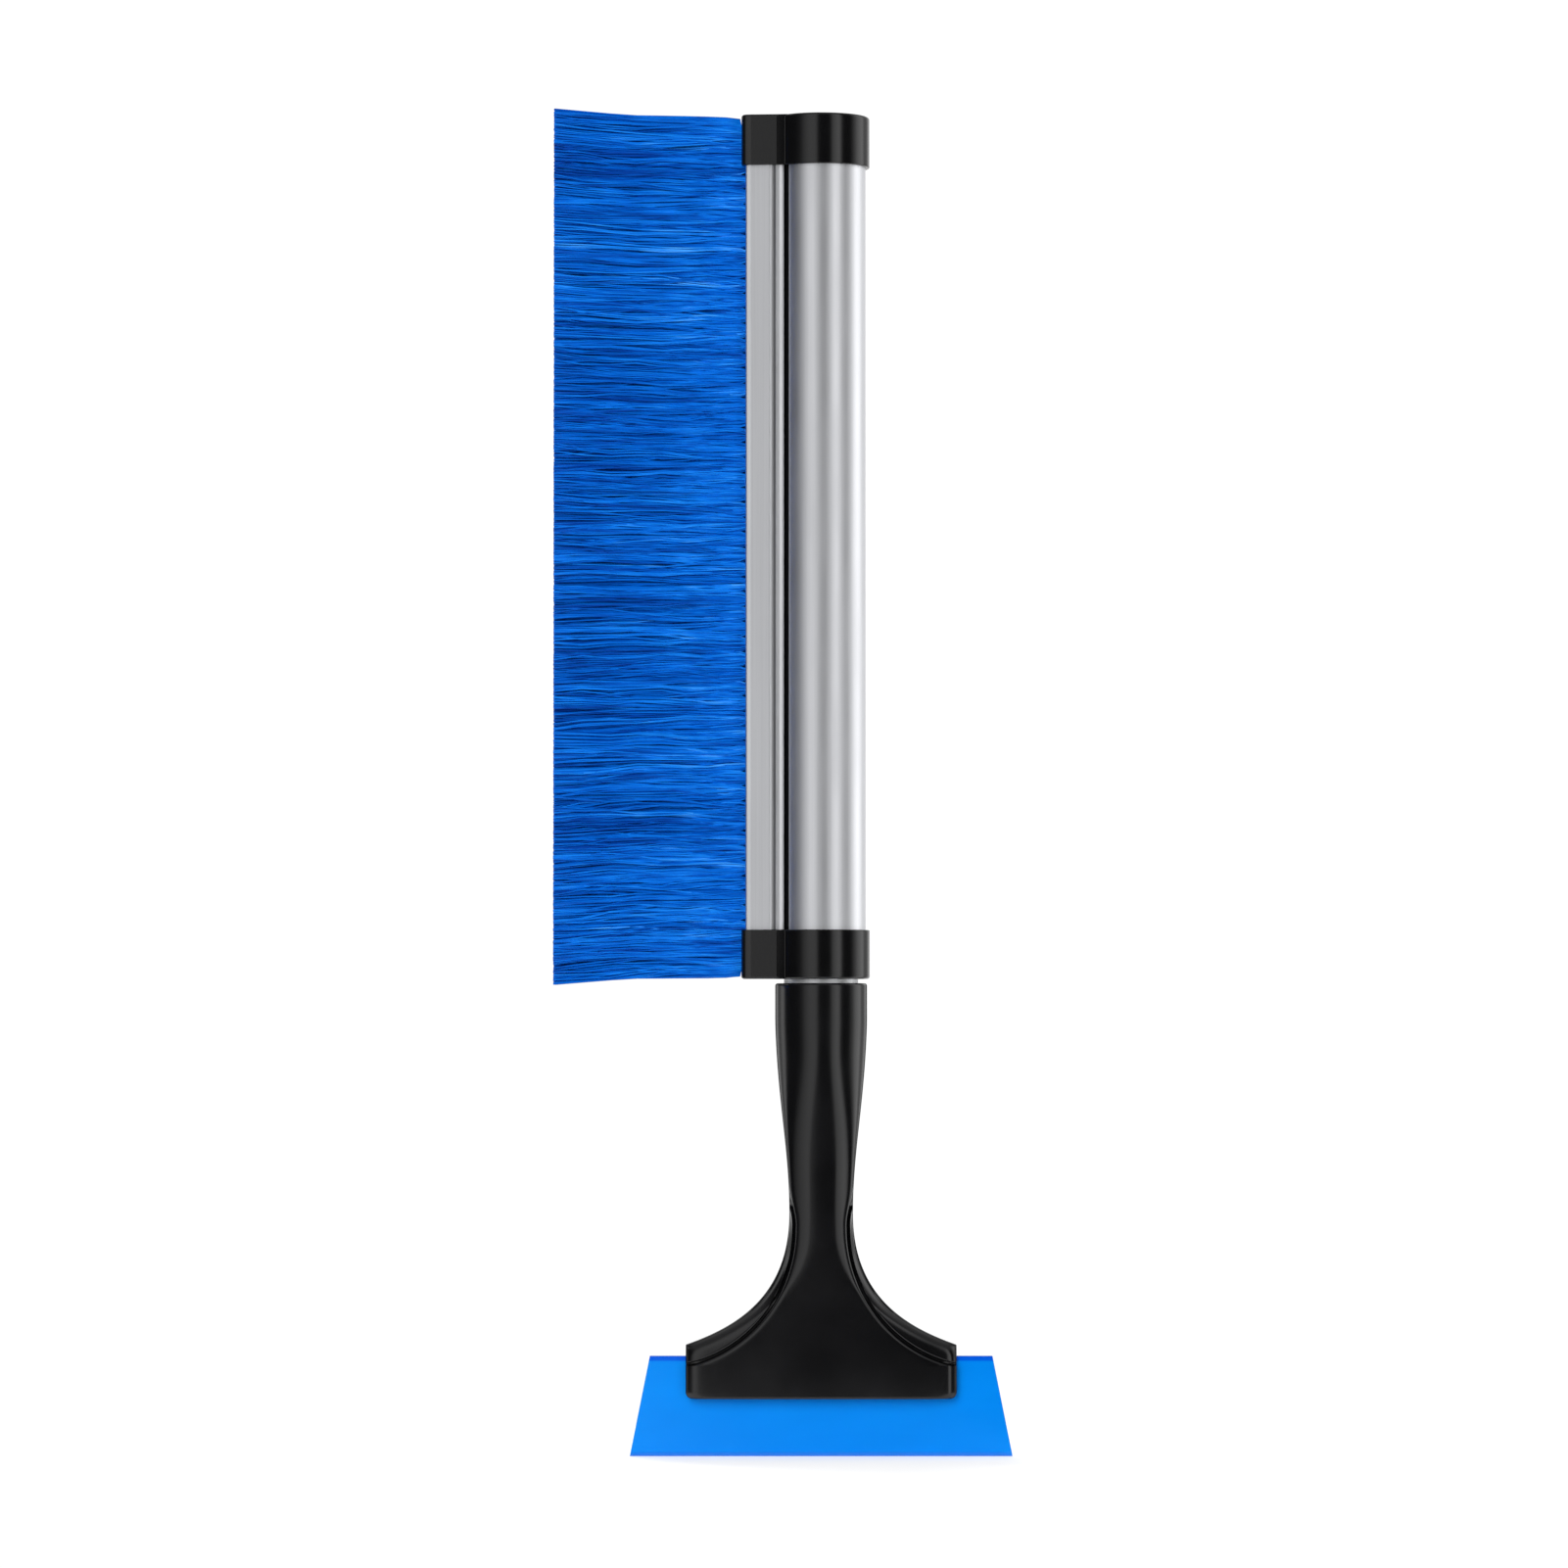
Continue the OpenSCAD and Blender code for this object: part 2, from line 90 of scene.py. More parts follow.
def mesh_piece(name, points, faces, material, body, replaced=(), sharp=32.0):
    """A piece from points in millimetres, smooth except where faces meet at more than sharp degrees."""
    mesh = bpy.data.meshes.new(name)
    mesh.from_pydata((np.asarray(points, float) * MM).tolist(), [], [list(f) for f in faces])
    work = bmesh.new()
    work.from_mesh(mesh)
    bmesh.ops.remove_doubles(work, verts=work.verts, dist=1e-6)
    bmesh.ops.dissolve_degenerate(work, edges=work.edges, dist=1e-7)
    bmesh.ops.recalc_face_normals(work, faces=work.faces)
    work.to_mesh(mesh)
    work.free()
    mesh.shade_smooth()
    mesh.set_sharp_from_angle(angle=math.radians(sharp))
    mesh.materials.append(material)
    piece = bpy.data.objects.new(name, mesh)
    bpy.context.scene.collection.objects.link(piece)
    if body:
        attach(piece, body)
        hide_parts(*replaced)
    return piece


def tool_piece(name, points, faces):
    """A closed mesh that cuts another one and is then deleted."""
    return mesh_piece(name, points, faces, None, None)


def ring_faces(rings, count, closed=True):
    """Quads between consecutive rings of count points."""
    faces = []
    for r in range(rings - 1):
        for k in range(count if closed else count - 1):
            n = (k + 1) % count
            faces.append((r * count + k, r * count + n, (r + 1) * count + n, (r + 1) * count + k))
    return faces


def prism(outline, low, high, axis):
    """Points and faces of an outline pushed along an axis: 'z' for an XY outline, 'y' for an XZ one."""
    count = len(outline)
    if axis == "z":
        points = [(a, b, low) for a, b in outline] + [(a, b, high) for a, b in outline]
    else:
        points = [(a, low, b) for a, b in outline] + [(a, high, b) for a, b in outline]
    faces = ring_faces(2, count) + [tuple(range(count)), tuple(range(count, 2 * count))]
    return points, faces


def circle_points(radius, count, centre=(0.0, 0.0)):
    """Outline of a circle."""
    turns = [2 * math.pi * k / count for k in range(count)]
    return [(centre[0] + radius * math.cos(turn), centre[1] + radius * math.sin(turn)) for turn in turns]


def cut(piece, tools, sharp=32.0):
    """Cuts the tools out of the piece, for good."""
    for tool in tools:
        step = piece.modifiers.new("cut", "BOOLEAN")
        step.operation = "DIFFERENCE"
        step.solver = "EXACT"
        step.object = tool
    bpy.context.view_layer.update()
    result = bpy.data.meshes.new_from_object(piece.evaluated_get(bpy.context.evaluated_depsgraph_get()))
    piece.modifiers.clear()
    materials = list(piece.data.materials)
    piece.data = result
    result.materials.clear()
    for material in materials:
        result.materials.append(material)
    result.shade_smooth()
    result.set_sharp_from_angle(angle=math.radians(sharp))
    for tool in tools:
        bpy.data.objects.remove(tool)


def smooth(t):
    """0 below 0, 1 above 1, with a smooth change between them."""
    t = np.clip(t, 0.0, 1.0)
    return t * t * (3 - 2 * t)


def arc(centre, radius, start, end, count):
    """Points of an arc between two angles in degrees."""
    return [
        (centre[0] + radius * math.cos(math.radians(a)), centre[1] + radius * math.sin(math.radians(a)))
        for a in np.linspace(start, end, count)
    ]


def bezier(corners, count):
    """Points along a cubic curve."""
    t = np.linspace(0, 1, count)[:, None]
    a, b, c, d = (np.array(p, float) for p in corners)
    return (1 - t) ** 3 * a + 3 * (1 - t) ** 2 * t * b + 3 * (1 - t) * t * t * c + t**3 * d


# ---------------------------------------------------------------- materials


def node_material(name):
    """A new material, its node tree and its shader."""
    material = bpy.data.materials.new(name)
    material.use_nodes = True
    tree = material.node_tree
    return material, tree, tree.nodes["Principled BSDF"]


def noise(tree, scale, stretch=(1, 1, 1), detail=3.0, rough=0.55):
    """Object-space noise with a scale per metre and a stretch for each axis."""
    place = tree.nodes.new("ShaderNodeTexCoord")
    mapping = tree.nodes.new("ShaderNodeMapping")
    mapping.inputs["Scale"].default_value = stretch
    tree.links.new(place.outputs["Object"], mapping.inputs["Vector"])
    texture = tree.nodes.new("ShaderNodeTexNoise")
    texture.inputs["Scale"].default_value = scale
    texture.inputs["Detail"].default_value = detail
    texture.inputs["Roughness"].default_value = rough
    tree.links.new(mapping.outputs["Vector"], texture.inputs["Vector"])
    return texture.outputs["Fac"]


def ramp(tree, value, low, high, out_low, out_high):
    """value from low..high mapped to out_low..out_high."""
    step = tree.nodes.new("ShaderNodeMapRange")
    step.inputs["From Min"].default_value = low
    step.inputs["From Max"].default_value = high
    step.inputs["To Min"].default_value = out_low
    step.inputs["To Max"].default_value = out_high
    tree.links.new(value, step.inputs["Value"])
    return step.outputs["Result"]


def colours(tree, value, stops):
    """A colour ramp through the stops."""
    step = tree.nodes.new("ShaderNodeValToRGB")
    while len(step.color_ramp.elements) < len(stops):
        step.color_ramp.elements.new(0.5)
    for element, (place, colour) in zip(step.color_ramp.elements, stops):
        element.position = place
        element.color = (*colour, 1)
    tree.links.new(value, step.inputs["Fac"])
    return step.outputs["Color"]


def bump(tree, shader, value, strength, distance):
    """Fine relief from a value."""
    step = tree.nodes.new("ShaderNodeBump")
    step.inputs["Strength"].default_value = strength
    step.inputs["Distance"].default_value = distance
    tree.links.new(value, step.inputs["Height"])
    tree.links.new(step.outputs["Normal"], shader.inputs["Normal"])


def object_axis(tree, axis):
    """One object-space coordinate, in metres."""
    place = tree.nodes.new("ShaderNodeTexCoord")
    axes = tree.nodes.new("ShaderNodeSeparateXYZ")
    tree.links.new(place.outputs["Object"], axes.inputs["Vector"])
    return axes.outputs[axis]


def near_x(tree, a, half):
    """1 where the surface lies within half a width of distance a from the tube's axis."""
    apart = tree.nodes.new("ShaderNodeMath")
    apart.operation = "COMPARE"
    apart.inputs[1].default_value = -a * MM
    apart.inputs[2].default_value = half * MM
    tree.links.new(object_axis(tree, "X"), apart.inputs[0])
    return apart.outputs["Value"]


def tinted(tree, factor, colour, tint):
    """The colour, replaced by a tint where the factor is 1."""
    mix = tree.nodes.new("ShaderNodeMix")
    mix.data_type = "RGBA"
    tree.links.new(factor, mix.inputs["Factor"])
    tree.links.new(colour, mix.inputs[6])
    mix.inputs[7].default_value = (*tint, 1)
    return mix.outputs[2]


def aluminium(name, tint, rough, shaded_grooves=False, shine=1.0):
    """Drawn, satin anodised aluminium: fine lines along Z, with painted shade in its two seams when asked.
    """
    material, tree, shader = node_material(name)
    shader.inputs["Metallic"].default_value = shine
    lines = noise(tree, 1.0, (1500, 1500, 9), 4.0, 0.6)
    cloud = noise(tree, 60.0, (1, 1, 0.35), 2.0)
    dark = tuple(c * 0.93 for c in tint)
    colour = colours(tree, lines, [(0.3, dark), (0.7, tint)])
    if shaded_grooves:
        # Painted shade darkens the two seams: the deep groove almost to black, the V-groove to half the
        # tint
        groove_shade = near_x(tree, (GROOVE_RIGHT + GROOVE_LEFT) / 2, (GROOVE_LEFT - GROOVE_RIGHT) / 2)
        colour = tinted(tree, groove_shade, colour, (0.01, 0.01, 0.012))
        colour = tinted(tree, near_x(tree, VEE_X, 0.7 * VEE_HALF), colour, tuple(c * 0.5 for c in tint))
    tree.links.new(colour, shader.inputs["Base Color"])
    tree.links.new(ramp(tree, cloud, 0.3, 0.7, rough - 0.03, rough + 0.03), shader.inputs["Roughness"])
    bump(tree, shader, lines, 0.06, 0.0002)
    return material


def plastic(name, tint, rough, grain=2600.0, strength=0.05, lift=1.5):
    """Moulded plastic with a fine spark-eroded texture."""
    material, tree, shader = node_material(name)
    texture = noise(tree, grain, detail=2.0)
    cloud = noise(tree, 45.0, detail=3.0)
    bright = tuple(c * lift for c in tint)
    tree.links.new(colours(tree, cloud, [(0.35, tint), (0.7, bright)]), shader.inputs["Base Color"])
    tree.links.new(ramp(tree, cloud, 0.3, 0.7, rough - 0.02, rough + 0.03), shader.inputs["Roughness"])
    bump(tree, shader, texture, strength, 0.0001)
    return material


def top_edge_shade(tree):
    """1 along the blade's top edge, where a band of painted shade goes."""
    begin, full = 1.9, 1.3
    top = BLADE_HIGH[2]
    return ramp(tree, object_axis(tree, "Z"), (top - begin) * MM, (top - full) * MM, 0.0, 1.0)


def polyurethane(name):
    """The blade: smooth, slightly cloudy cast polyurethane."""
    material, tree, shader = node_material(name)
    cloud = noise(tree, 22.0, (1, 1, 2.5), 3.0)
    body = colours(tree, cloud, [(0.3, (0.0, 0.20, 0.70)), (0.7, (0.0, 0.225, 0.76))])
    # Painted shade: a darker blue band along the blade's top edge
    shaded_blue = (0.0, 0.09, 0.62)
    tree.links.new(tinted(tree, top_edge_shade(tree), body, shaded_blue), shader.inputs["Base Color"])
    tree.links.new(ramp(tree, cloud, 0.3, 0.7, 0.22, 0.28), shader.inputs["Roughness"])
    shader.inputs["Specular IOR Level"].default_value = 0.12
    shader.inputs["Subsurface Weight"].default_value = 0.2
    shader.inputs["Subsurface Radius"].default_value = (0.05, 0.6, 1.0)
    shader.inputs["Subsurface Scale"].default_value = 0.002
    bump(tree, shader, noise(tree, 900.0, detail=2.0), 0.04, 0.0001)
    return material


def filament(name):
    """Bristle filaments: each has its own shade, kept in the mesh, and streaks along its length."""
    material, tree, shader = node_material(name)
    shade = tree.nodes.new("ShaderNodeAttribute")
    shade.attribute_name = "shade"
    streak = noise(tree, 1.0, (38, 620, 620), 2.5)
    mix = tree.nodes.new("ShaderNodeMath")
    tree.links.new(streak, mix.inputs[0])
    tree.links.new(shade.outputs["Fac"], mix.inputs[1])
    # Painted shade: the brush is a little darker towards its tips, where the strands spread and show their
    # shadowed inner layers
    dark_x, light_x = -75.0, -45.0
    shift = ramp(tree, object_axis(tree, "X"), dark_x * MM, light_x * MM, -0.09, 0.03)
    level = tree.nodes.new("ShaderNodeMath")
    tree.links.new(mix.outputs["Value"], level.inputs[0])
    tree.links.new(shift, level.inputs[1])
    stops = [
        (0.15, (0.0, 0.052, 0.36)),
        (0.50, (0.0, 0.142, 0.67)),
        (0.75, (0.006, 0.225, 0.84)),
        (1.00, (0.07, 0.40, 1.0)),
    ]
    tree.links.new(colours(tree, level.outputs["Value"], stops), shader.inputs["Base Color"])
    shader.inputs["Roughness"].default_value = 0.4
    shader.inputs["Specular IOR Level"].default_value = 0.14
    return material


def mottled_metal(name, grain, dull, bright, rough_low, rough_high):
    """Turned or plated metal with an uneven sheen."""
    material, tree, shader = node_material(name)
    shader.inputs["Metallic"].default_value = 1.0
    mottle = noise(tree, grain, detail=3.0)
    tree.links.new(colours(tree, mottle, [(0.3, dull), (0.7, bright)]), shader.inputs["Base Color"])
    tree.links.new(ramp(tree, mottle, 0.3, 0.7, rough_low, rough_high), shader.inputs["Roughness"])
    return material


EXTRUSION_METAL = aluminium("extrusion_aluminium", (0.90, 0.91, 0.94), 0.43, shaded_grooves=True)
TUBE_METAL = aluminium("tube_aluminium", (0.90, 0.91, 0.93), 0.45, shine=0.7)
HANDLE_BLACK = plastic("handle_black", (0.0022, 0.0022, 0.0026), 0.19)
CAP_BLACK = plastic("cap_black", (0.0020, 0.0020, 0.0023), 0.18, strength=0.03)
STRIP_BLACK = plastic("strip_black", (0.02, 0.022, 0.03), 0.5)
BLADE_BLUE = polyurethane("blade_blue")
BRISTLE_BLUE = filament("bristle_blue")
SCREW_STEEL = mottled_metal("screw_steel", 700.0, (0.50, 0.50, 0.51), (0.66, 0.66, 0.67), 0.24, 0.36)
INSERT_BRASS = mottled_metal("insert_brass", 500.0, (0.62, 0.45, 0.18), (0.76, 0.58, 0.27), 0.25, 0.4)
PLUG_DARK = plastic("plug_plastic", (0.05, 0.05, 0.055), 0.45)
BUSH_WHITE = plastic("bush_plastic", (0.68, 0.68, 0.64), 0.38, lift=1.1)
CAM_ORANGE = plastic("cam_plastic", (0.50, 0.13, 0.03), 0.45, lift=1.15)


# ---------------------------------------------------------------- brush section


# The valley in the caps: a point on it, as distance from the axis and height, and its slope
VALLEY_A, VALLEY_Y = 12.3, 11.05
VALLEY_TILT = math.radians(10)
CREASE_SOFT = 0.5
FILLET_R = 0.5


def mirrored(upper):
    """The lower half that closes the upper half of an outline."""
    return [(x, -y) for x, y in upper[::-1] if y > 1e-6]


def lobe_face(a):
    """Half thickness of the lobe at distance a from the tube's axis, towards the bristles."""
    return LOBE_Y - math.tan(LOBE_TAPER) * (a - GROOVE_RIGHT)


def cap_face(a, grow):
    """Height of a cap's flat side at distance a: over the lobe's face, with a valley beside the tube."""
    valley = VALLEY_Y + math.tan(VALLEY_TILT) * (a - VALLEY_A)
    return min(lobe_face(a) + grow / math.cos(LOBE_TAPER), valley)


def lobe_corner(grow, count):
    """The rounded corner between the lobe's turned-in edge and its flat end."""
    x = LOBE_X - LOBE_CORNER
    y = lobe_face(EDGE_X) - math.tan(EDGE_TILT) * (x - EDGE_X) - LOBE_CORNER / math.cos(EDGE_TILT)
    return arc((-x, y), LOBE_CORNER + grow, 90 + math.degrees(EDGE_TILT), 180, count)


def cap_outline(grow):
    """Outline of the extrusion grown by an even margin: round tube, small fillet, valley, flat lobe."""
    radius = TUBE_R + grow
    reach = radius + FILLET_R

    def above(turn):
        """How far a fillet centred at this angle round the tube stands above the flat side."""
        a = -reach * math.cos(turn)
        return reach * math.sin(turn) - cap_face(a, grow) - FILLET_R

    # The fillet's place, found by halving
    low, high = math.radians(95), math.radians(170)
    for _ in range(40):
        middle = (low + high) / 2
        low, high = (middle, high) if above(middle) > 0 else (low, middle)
    centre = (reach * math.cos(low), reach * math.sin(low))
    step = 0.1
    slope = (cap_face(-centre[0] + step, grow) - cap_face(-centre[0], grow)) / step
    tilt = math.degrees(math.atan(slope))
    turn = math.degrees(low)
    upper = arc((0, 0), radius, 0, turn, 60)
    upper += arc(centre, FILLET_R, turn - 180, -90 - tilt, 7)[1:]
    # Where the valley meets the lobe's face, always clear of the fillet
    over = LOBE_Y + math.tan(LOBE_TAPER) * GROOVE_RIGHT + grow / math.cos(LOBE_TAPER)
    under = VALLEY_Y - math.tan(VALLEY_TILT) * VALLEY_A
    crease = (over - under) / (math.tan(VALLEY_TILT) + math.tan(LOBE_TAPER))
    crease = max(crease, CREASE_SOFT + 0.2 - upper[-1][0])
    stations = [crease + d for d in (-CREASE_SOFT, -0.12, 0, 0.12, CREASE_SOFT)]
    stations += [17, 20, EDGE_X - 0.15, EDGE_X]
    upper += [(-a, cap_face(a, grow)) for a in stations]
    upper += lobe_corner(grow, 10)
    return upper + mirrored(upper)


def end_cap(name, node, top, height, bore):
    """A cup over the end of the extrusion. top is +1 for the upper cap and -1 for the lower one."""
    plate_z = TOP_CAP_HIGH[2] if top > 0 else BOTTOM_CAP_LOW[2]
    edge, lip, play = 0.9, 0.35, 0.06
    # How far the outline grows at each depth below the plate's face: outside, then inside
    steps = []
    for a in np.linspace(0, 90, 6):
        inset = edge * (1 - math.sin(math.radians(a)))
        steps.append((CAP_WALL - inset, edge * (1 - math.cos(math.radians(a)))))
    steps += [(CAP_WALL, depth) for depth in np.linspace(edge + 1, height - lip - 0.5, 5)]
    for a in np.linspace(0, 90, 4):
        inset = lip * (1 - math.cos(math.radians(a)))
        steps.append((CAP_WALL - inset, height - lip + lip * math.sin(math.radians(a))))
    steps += [(play, height), (play, CAP_PLATE)]
    points = []
    for grow, depth in steps:
        points += [(x, y, plate_z - top * depth) for x, y in cap_outline(grow)]
    count = len(cap_outline(0))
    faces = ring_faces(len(steps), count)
    last = (len(steps) - 1) * count
    faces += [tuple(range(count)), tuple(range(last, last + count))]
    piece = mesh_piece(name, points, faces, CAP_BLACK, "brush_body", [node])
    # Slot for the bristles
    left, right = -LOBE_X - 8, -LOBE_X + 4
    slot = [(left, -SLOT_Y), (right, -SLOT_Y), (right, SLOT_Y), (left, SLOT_Y)]
    ends = sorted((plate_z - top * CAP_PLATE, plate_z - top * (height + BEYOND)))
    tools = [tool_piece("slot", *prism(slot, *ends, "z"))]
    for side in (-1, 1):
        tools.append(screw_recess(plate_z, top, side))
    if bore:
        hole = prism(circle_points(bore, 96), *sorted((plate_z + top, plate_z - top * BEYOND)), "z")
        tools.append(tool_piece("hole", *hole))
    cut(piece, tools)
    return piece


def screw_recess(plate_z, top, side):
    """Countersunk hole for a cap screw."""
    count = 32
    # Radius and depth, from the face inwards
    profile = [(2.95, -0.05), (1.45, 1.45), (1.45, 6.0)]
    points = []
    for radius, depth in profile:
        ring = circle_points(radius, count, (-PORT_X, side * PORT_Y))
        points += [(x, y, plate_z - top * depth) for x, y in ring]
    faces = ring_faces(len(profile), count)
    faces += [tuple(range(count)), tuple(range(2 * count, 3 * count))]
    return tool_piece("recess", points, faces)


def seam_outline():
    """Upper half of the extrusion's outline, with its round edges, deep groove, bead and V-groove."""
    vee_right, vee_left = VEE_X - VEE_HALF, VEE_X + VEE_HALF
    bead_r, bead_edge = 3.7, 51.0
    flat = 90 + math.degrees(LOBE_TAPER)
    edge = 0.25
    # The tube's edge at the deep groove, rounded a little
    meet = math.degrees(math.acos(-GROOVE_RIGHT / TUBE_R))
    round_turn, edge_turn = 1.6, 118
    points = arc((0, 0), TUBE_R, 0, meet - round_turn, 96)
    top_y = TUBE_R * math.sin(math.radians(meet))
    points += arc((-GROOVE_RIGHT + edge, top_y - 1.2 * edge), edge, edge_turn, 180, 4)
    points += arc((-GROOVE_RIGHT - edge, GROOVE_FLOOR + edge), edge, 0, -90, 4)
    points += arc((-GROOVE_LEFT + edge, GROOVE_FLOOR + edge), edge, -90, -180, 4)
    # The bead is one gentle arc, from the groove to the V-groove
    bead_x = -vee_right - bead_r * math.cos(math.radians(flat))
    bead_y = lobe_face(vee_right) - bead_r * math.sin(math.radians(flat))
    bead = arc((bead_x, bead_y), bead_r, bead_edge, flat, 14)
    points += [(-GROOVE_LEFT, bead[0][1] - edge)]
    points += bead
    # The V-groove has a narrow flat floor and a broken far edge
    soft, inner, fall = 0.1, 0.06, 0.05
    points += [(x, lobe_face(VEE_X) - VEE_DEPTH) for x in (-VEE_X + soft, -VEE_X - soft)]
    points.append((-vee_left + inner, lobe_face(vee_left) - fall))
    points.append((-vee_left - soft, lobe_face(vee_left + soft)))
    points += [(-a, lobe_face(a)) for a in (vee_left + 0.4, 20, EDGE_X - 0.15, EDGE_X)]
    points += lobe_corner(0, 12)
    return points


def channel_outline():
    """The rest of the upper half: lip, brush channel and its back wall, down to the middle."""
    soft = 0.25
    return [
        (-LOBE_X, SLOT_Y + soft), (-LOBE_X + soft, SLOT_Y), (-CHANNEL_FRONT, SLOT_Y),
        (-CHANNEL_FRONT, CHANNEL_Y), (-CHANNEL_BACK, CHANNEL_Y), (-CHANNEL_BACK, 0.0),
    ]


def extrusion():
    """The aluminium body: one outline drawn along Z, with its round bore cut through."""
    upper = seam_outline() + channel_outline()
    outline = upper + mirrored(upper)
    low, high = EXTRUSION_LOW[2], EXTRUSION_HIGH[2]
    levels = np.linspace(low, high, 9)
    points = [(x, y, z) for z in levels for x, y in outline]
    count = len(outline)
    faces = ring_faces(len(levels), count)
    last = (len(levels) - 1) * count
    faces += [tuple(range(count)), tuple(range(last, last + count))]
    piece = mesh_piece(
        "extruded_body", points, faces, EXTRUSION_METAL, "brush_body",
        ["body_extrusion"], sharp=24.0,
    )
    tools = [tool_piece("bore", *prism(circle_points(BORE_R, 160), low - 1, high + 1, "z"))]
    for side in (-1, 1):
        port = circle_points(PORT_R, 24, (-PORT_X, side * PORT_Y))
        tools.append(tool_piece("port", *prism(port, low - 1, high + 1, "z")))
    cut(piece, tools, sharp=24.0)
    return piece


# ---------------------------------------------------------------- scraper handle

HEAD_W = HANDLE_HIGH[0]
HEAD_LOW = HANDLE_LOW[2]
HANDLE_TOP = HANDLE_HIGH[2]
HANDLE_R = HANDLE_HIGH[1]
HEAD_D = 7.5
HEAD_END = 37.16
WAIST_R, WAIST_Z = 10.62, 81.1
WAIST_D = WAIST_R - 0.9
SHOULDER_Z = 145.0
PANEL_TOP = (9.14, 75.9)
PANEL_END = 30.55
CORNER_R = 2.3
LOWER_EDGE_R = 0.5
SOCKET_R = 12.5
SOCKET_Z = 130.0
# Where each change along the handle begins and ends: depth from head to waist, from waist to grip,
# grip to facets, facets to flat head
DEEPEN, THICKEN, FACET, FLATTEN = (48, 84), (84, 146), (92, 138), (38, 74)

# Side lines of the fan, the raised panel and the grip
FAN_SIDE = bezier([(WAIST_R, WAIST_Z), (WAIST_R, 53.1), (HEAD_W - 16.8, 43.0), (HEAD_W, HEAD_END)], 400)
PANEL_SIDE = bezier([PANEL_TOP, (PANEL_TOP[0], 56.2), (HEAD_W - 23.4, 35.8), (HEAD_W, PANEL_END)], 400)
GRIP_SIDE = bezier([(HANDLE_R, SHOULDER_Z), (HANDLE_R - 0.7, 118), (WAIST_R, 103), (WAIST_R, WAIST_Z)], 200)
SIDE = np.concatenate([FAN_SIDE[::-1], GRIP_SIDE[::-1]])


def half_width(z):
    """Half width of the handle's outline at height z."""
    if z >= SHOULDER_Z:
        return HANDLE_R
    if z >= HEAD_END:
        return float(np.interp(z, SIDE[:, 1], SIDE[:, 0]))
    rise = z - HEAD_LOW
    if rise < CORNER_R:
        return HEAD_W - CORNER_R + math.sqrt(max(0.0, CORNER_R**2 - (CORNER_R - rise) ** 2))
    return HEAD_W


def share(z, ends):
    """0 below the first level, 1 above the second, with a smooth change between them."""
    return float(smooth((z - ends[0]) / (ends[1] - ends[0])))


def half_depth(z):
    """Half depth of the handle at height z, with a rounded lower edge."""
    depth = HEAD_D
    depth += (WAIST_D - HEAD_D) * share(z, DEEPEN)
    depth += (HANDLE_R - WAIST_D) * share(z, THICKEN)
    rise = z - HEAD_LOW
    if rise < LOWER_EDGE_R:
        depth -= LOWER_EDGE_R - math.sqrt(max(0.0, LOWER_EDGE_R**2 - (LOWER_EDGE_R - rise) ** 2))
    return depth


# How far across the half width the surface reaches each tilt, in degrees: round at the top of the grip,
# three soft facets at the waist, nearly flat on the head
TILTS = [0.0, 1.5, 4.5, 14.0, 19.0, 25.0, 43.0, 60.0, 75.0]
ROUND = [math.sin(math.radians(t)) for t in TILTS]
FACETS = [0.0, 0.12, 0.34, 0.47, 0.65, 0.83, 0.925, 0.965, 0.985]
FLAT = [0.0, 0.84, 0.92, 0.94, 0.955, 0.965, 0.98, 0.99, 0.995]


def face_drop(xs, width, z):
    """How far the front face falls back at distances xs from its middle, at height z."""
    faceted = float(smooth((FACET[1] - z) / (FACET[1] - FACET[0])))
    flat = float(smooth((FLATTEN[1] - z) / (FLATTEN[1] - FLATTEN[0])))
    reach = (1 - faceted) * np.array(ROUND) + faceted * np.array(FACETS)
    reach = (1 - flat) * reach + flat * np.array(FLAT)
    u = np.linspace(0, 1, 801)
    slope = np.tan(np.radians(np.interp(u, reach, TILTS)))
    fall = np.concatenate([[0.0], np.cumsum((slope[1:] + slope[:-1]) / 2 * np.diff(u))]) * width
    return np.interp(np.asarray(xs) / width, u, fall)


def panel_edge(z):
    """Where the groove runs at height z, and the sine of its slope."""
    sides = PANEL_SIDE[::-1]
    if z > PANEL_TOP[1]:
        # Above the panel the groove drifts off over the side
        drift, outside = 16, 1.06
        part = PANEL_TOP[0] / half_width(PANEL_TOP[1])
        part += (outside - part) * float(smooth((z - PANEL_TOP[1]) / drift))
        return half_width(z) * part, 1.0
    z = max(z, PANEL_END)
    index = int(np.clip(np.searchsorted(sides[:, 1], z), 1, len(sides) - 1))
    step = sides[index] - sides[index - 1]
    return float(np.interp(z, sides[:, 1], sides[:, 0])), abs(step[1]) / math.hypot(*step)


# Distance from the middle of the groove and depth below the face. The flange starts at the last point
GROOVE = [
    (-2.2, 0.0), (-1.7, 0.03), (-1.3, 0.10), (-1.0, 0.22), (-0.78, 0.42), (-0.66, 0.70), (-0.62, 1.10),
    (-0.55, 2.70), (-0.3, 2.95), (0.2, 2.95), (0.42, 2.70),
    (0.5, 1.60), (0.58, 1.36), (0.75, 1.26), (1.0, 1.25),
]
GROOVE_D = [d for d, _ in GROOVE]
GROOVE_Y = [y for _, y in GROOVE]
FLANGE_TILT = math.tan(math.radians(7))
FLANGE_EDGE = 4.0
FLANGE_ROLL = 0.75
TURN = 0.985  # share of the half width at which the face turns into the side
SIDE_FADE = 0.014
LEAST_DEPTH = 2.4


def flange_drop(xs, z):
    """The flange rolls back towards the outline of the fan."""
    apart = np.hypot(np.asarray(xs)[:, None] - FAN_SIDE[:, 0], z - FAN_SIDE[:, 1]).min(axis=1)
    inside = np.clip(FLANGE_EDGE - apart, 0, FLANGE_EDGE)
    return FLANGE_ROLL * (FLANGE_EDGE - np.sqrt(FLANGE_EDGE**2 - inside**2))


